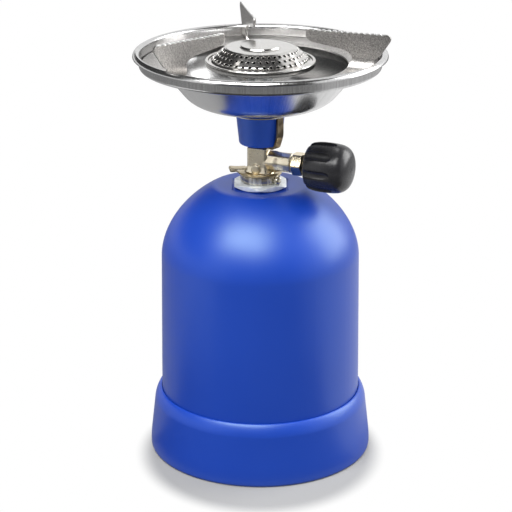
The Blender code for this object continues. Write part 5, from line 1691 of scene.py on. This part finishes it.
def arc_card(name, turns, near, far, radiance, steps=24):
    """A strip between two (radius, height) points that runs round Z from one angle to another."""
    turn = np.radians(np.linspace(*turns, steps))
    ends = np.array((near, far))
    card(name, carried(turn, ends[:, 0:1], ends[:, 1:2]), radiance)


arc_card("dark_wall", (-128, -42), (1.25, -0.2), (1.25, 1.15), 0.03)
arc_card("near_floor", (-180, -25), (0.062, 0.0008), (0.22, 0.0009), 0.03)
arc_card("bright_floor", (-24, 80), (0.075, 0.0008), (0.46, 0.0009), 0.95)
arc_card("left_floor", (-185, -140), (0.26, 0.0010), (0.46, 0.0010), 1.0)
arc_card("dark_floor", (-138, -42), (0.22, 0.0010), (0.46, 0.0010), 0.03)
arc_card("grey_floor", (-235, -34), (0.47, 0.0012), (1.22, 0.0012), 0.24)
arc_card("pale_floor", (-34, 60), (0.47, 0.0012), (1.22, 0.0012), 0.50)
arc_card("dark_corner", (108, 200), (1.30, 0.35), (0.75, 1.60), 0.04)
card("overhead", level_points((-0.60, -1.0), (0.95, 0.12), 1.15), 0.04)

# %% World
WORLD_LIGHT = 0.42
world = bpy.data.worlds.new("studio")
bpy.context.scene.world = world
world.use_nodes = True
world.node_tree.nodes.clear()
sky = Net(world.node_tree)
seen = sky.node("ShaderNodeLightPath", output="Is Camera Ray")
for ray in ("Is Glossy Ray", "Is Transmission Ray"):
    seen = seen.math("MAXIMUM", sky.node("ShaderNodeLightPath", output=ray))
room = sky.node("ShaderNodeBackground", sockets={"Color": WHITE, "Strength": WORLD_LIGHT})
white = sky.node("ShaderNodeBackground", sockets={"Color": WHITE, "Strength": 1.0})
either = sky.node("ShaderNodeMixShader", sockets={0: seen, 1: room, 2: white})
sky.fill(sky.tree.nodes.new("ShaderNodeOutputWorld").inputs[0], either)
print("the room gives", WORLD_LIGHT, "of the white that the camera sees")

# %% Lamps


def softbox(name, place, target, size, watts):
    """A rectangular lamp at a place, turned to face a target."""
    lamp = bpy.data.lights.new(name, "AREA")
    lamp.shape = "RECTANGLE"
    lamp.size, lamp.size_y = size
    lamp.energy = watts
    holder = bpy.data.objects.new(name, lamp)
    bpy.context.scene.collection.objects.link(holder)
    away = np.array(place) - np.array(target)
    holder.location = place
    holder.rotation_euler = (math.acos(away[2] / np.linalg.norm(away)), 0,
                             math.atan2(away[1], away[0]) + math.pi / 2)
    return holder


softbox("key", (-0.27, -0.58, 0.99), (0, 0, 0.12), (0.95, 0.58), 18.5)
softbox("right_strip", (0.72, 0.18, 0.46), (0, 0, 0.12), (0.60, 0.60), 6.5)
top_light = softbox("top", (0.0, -0.1, 1.3), (0, 0, 0), (1.0, 1.0), 12.0)
top_light.visible_glossy = False
print("three lamps; the top one isn't mirrored")

# %% Camera
FRAME_WIDTH = 512
FOCAL_PIXELS = 1800.3
SENSOR = 36.0
CAMERA_PLACE = (-0.0021, -0.8294, 0.3979)
CAMERA_PITCH = math.radians(19.854)
lens = bpy.data.cameras.new("camera")
lens.sensor_width = SENSOR
lens.lens = FOCAL_PIXELS / FRAME_WIDTH * SENSOR
camera = bpy.data.objects.new("camera", lens)
camera.location = CAMERA_PLACE
camera.rotation_euler = (math.pi / 2 - CAMERA_PITCH, 0, 0)
bpy.context.scene.collection.objects.link(camera)
bpy.context.scene.camera = camera
bpy.context.scene.view_settings.view_transform = "Standard"
print("lens, mm:", round(lens.lens, 1))
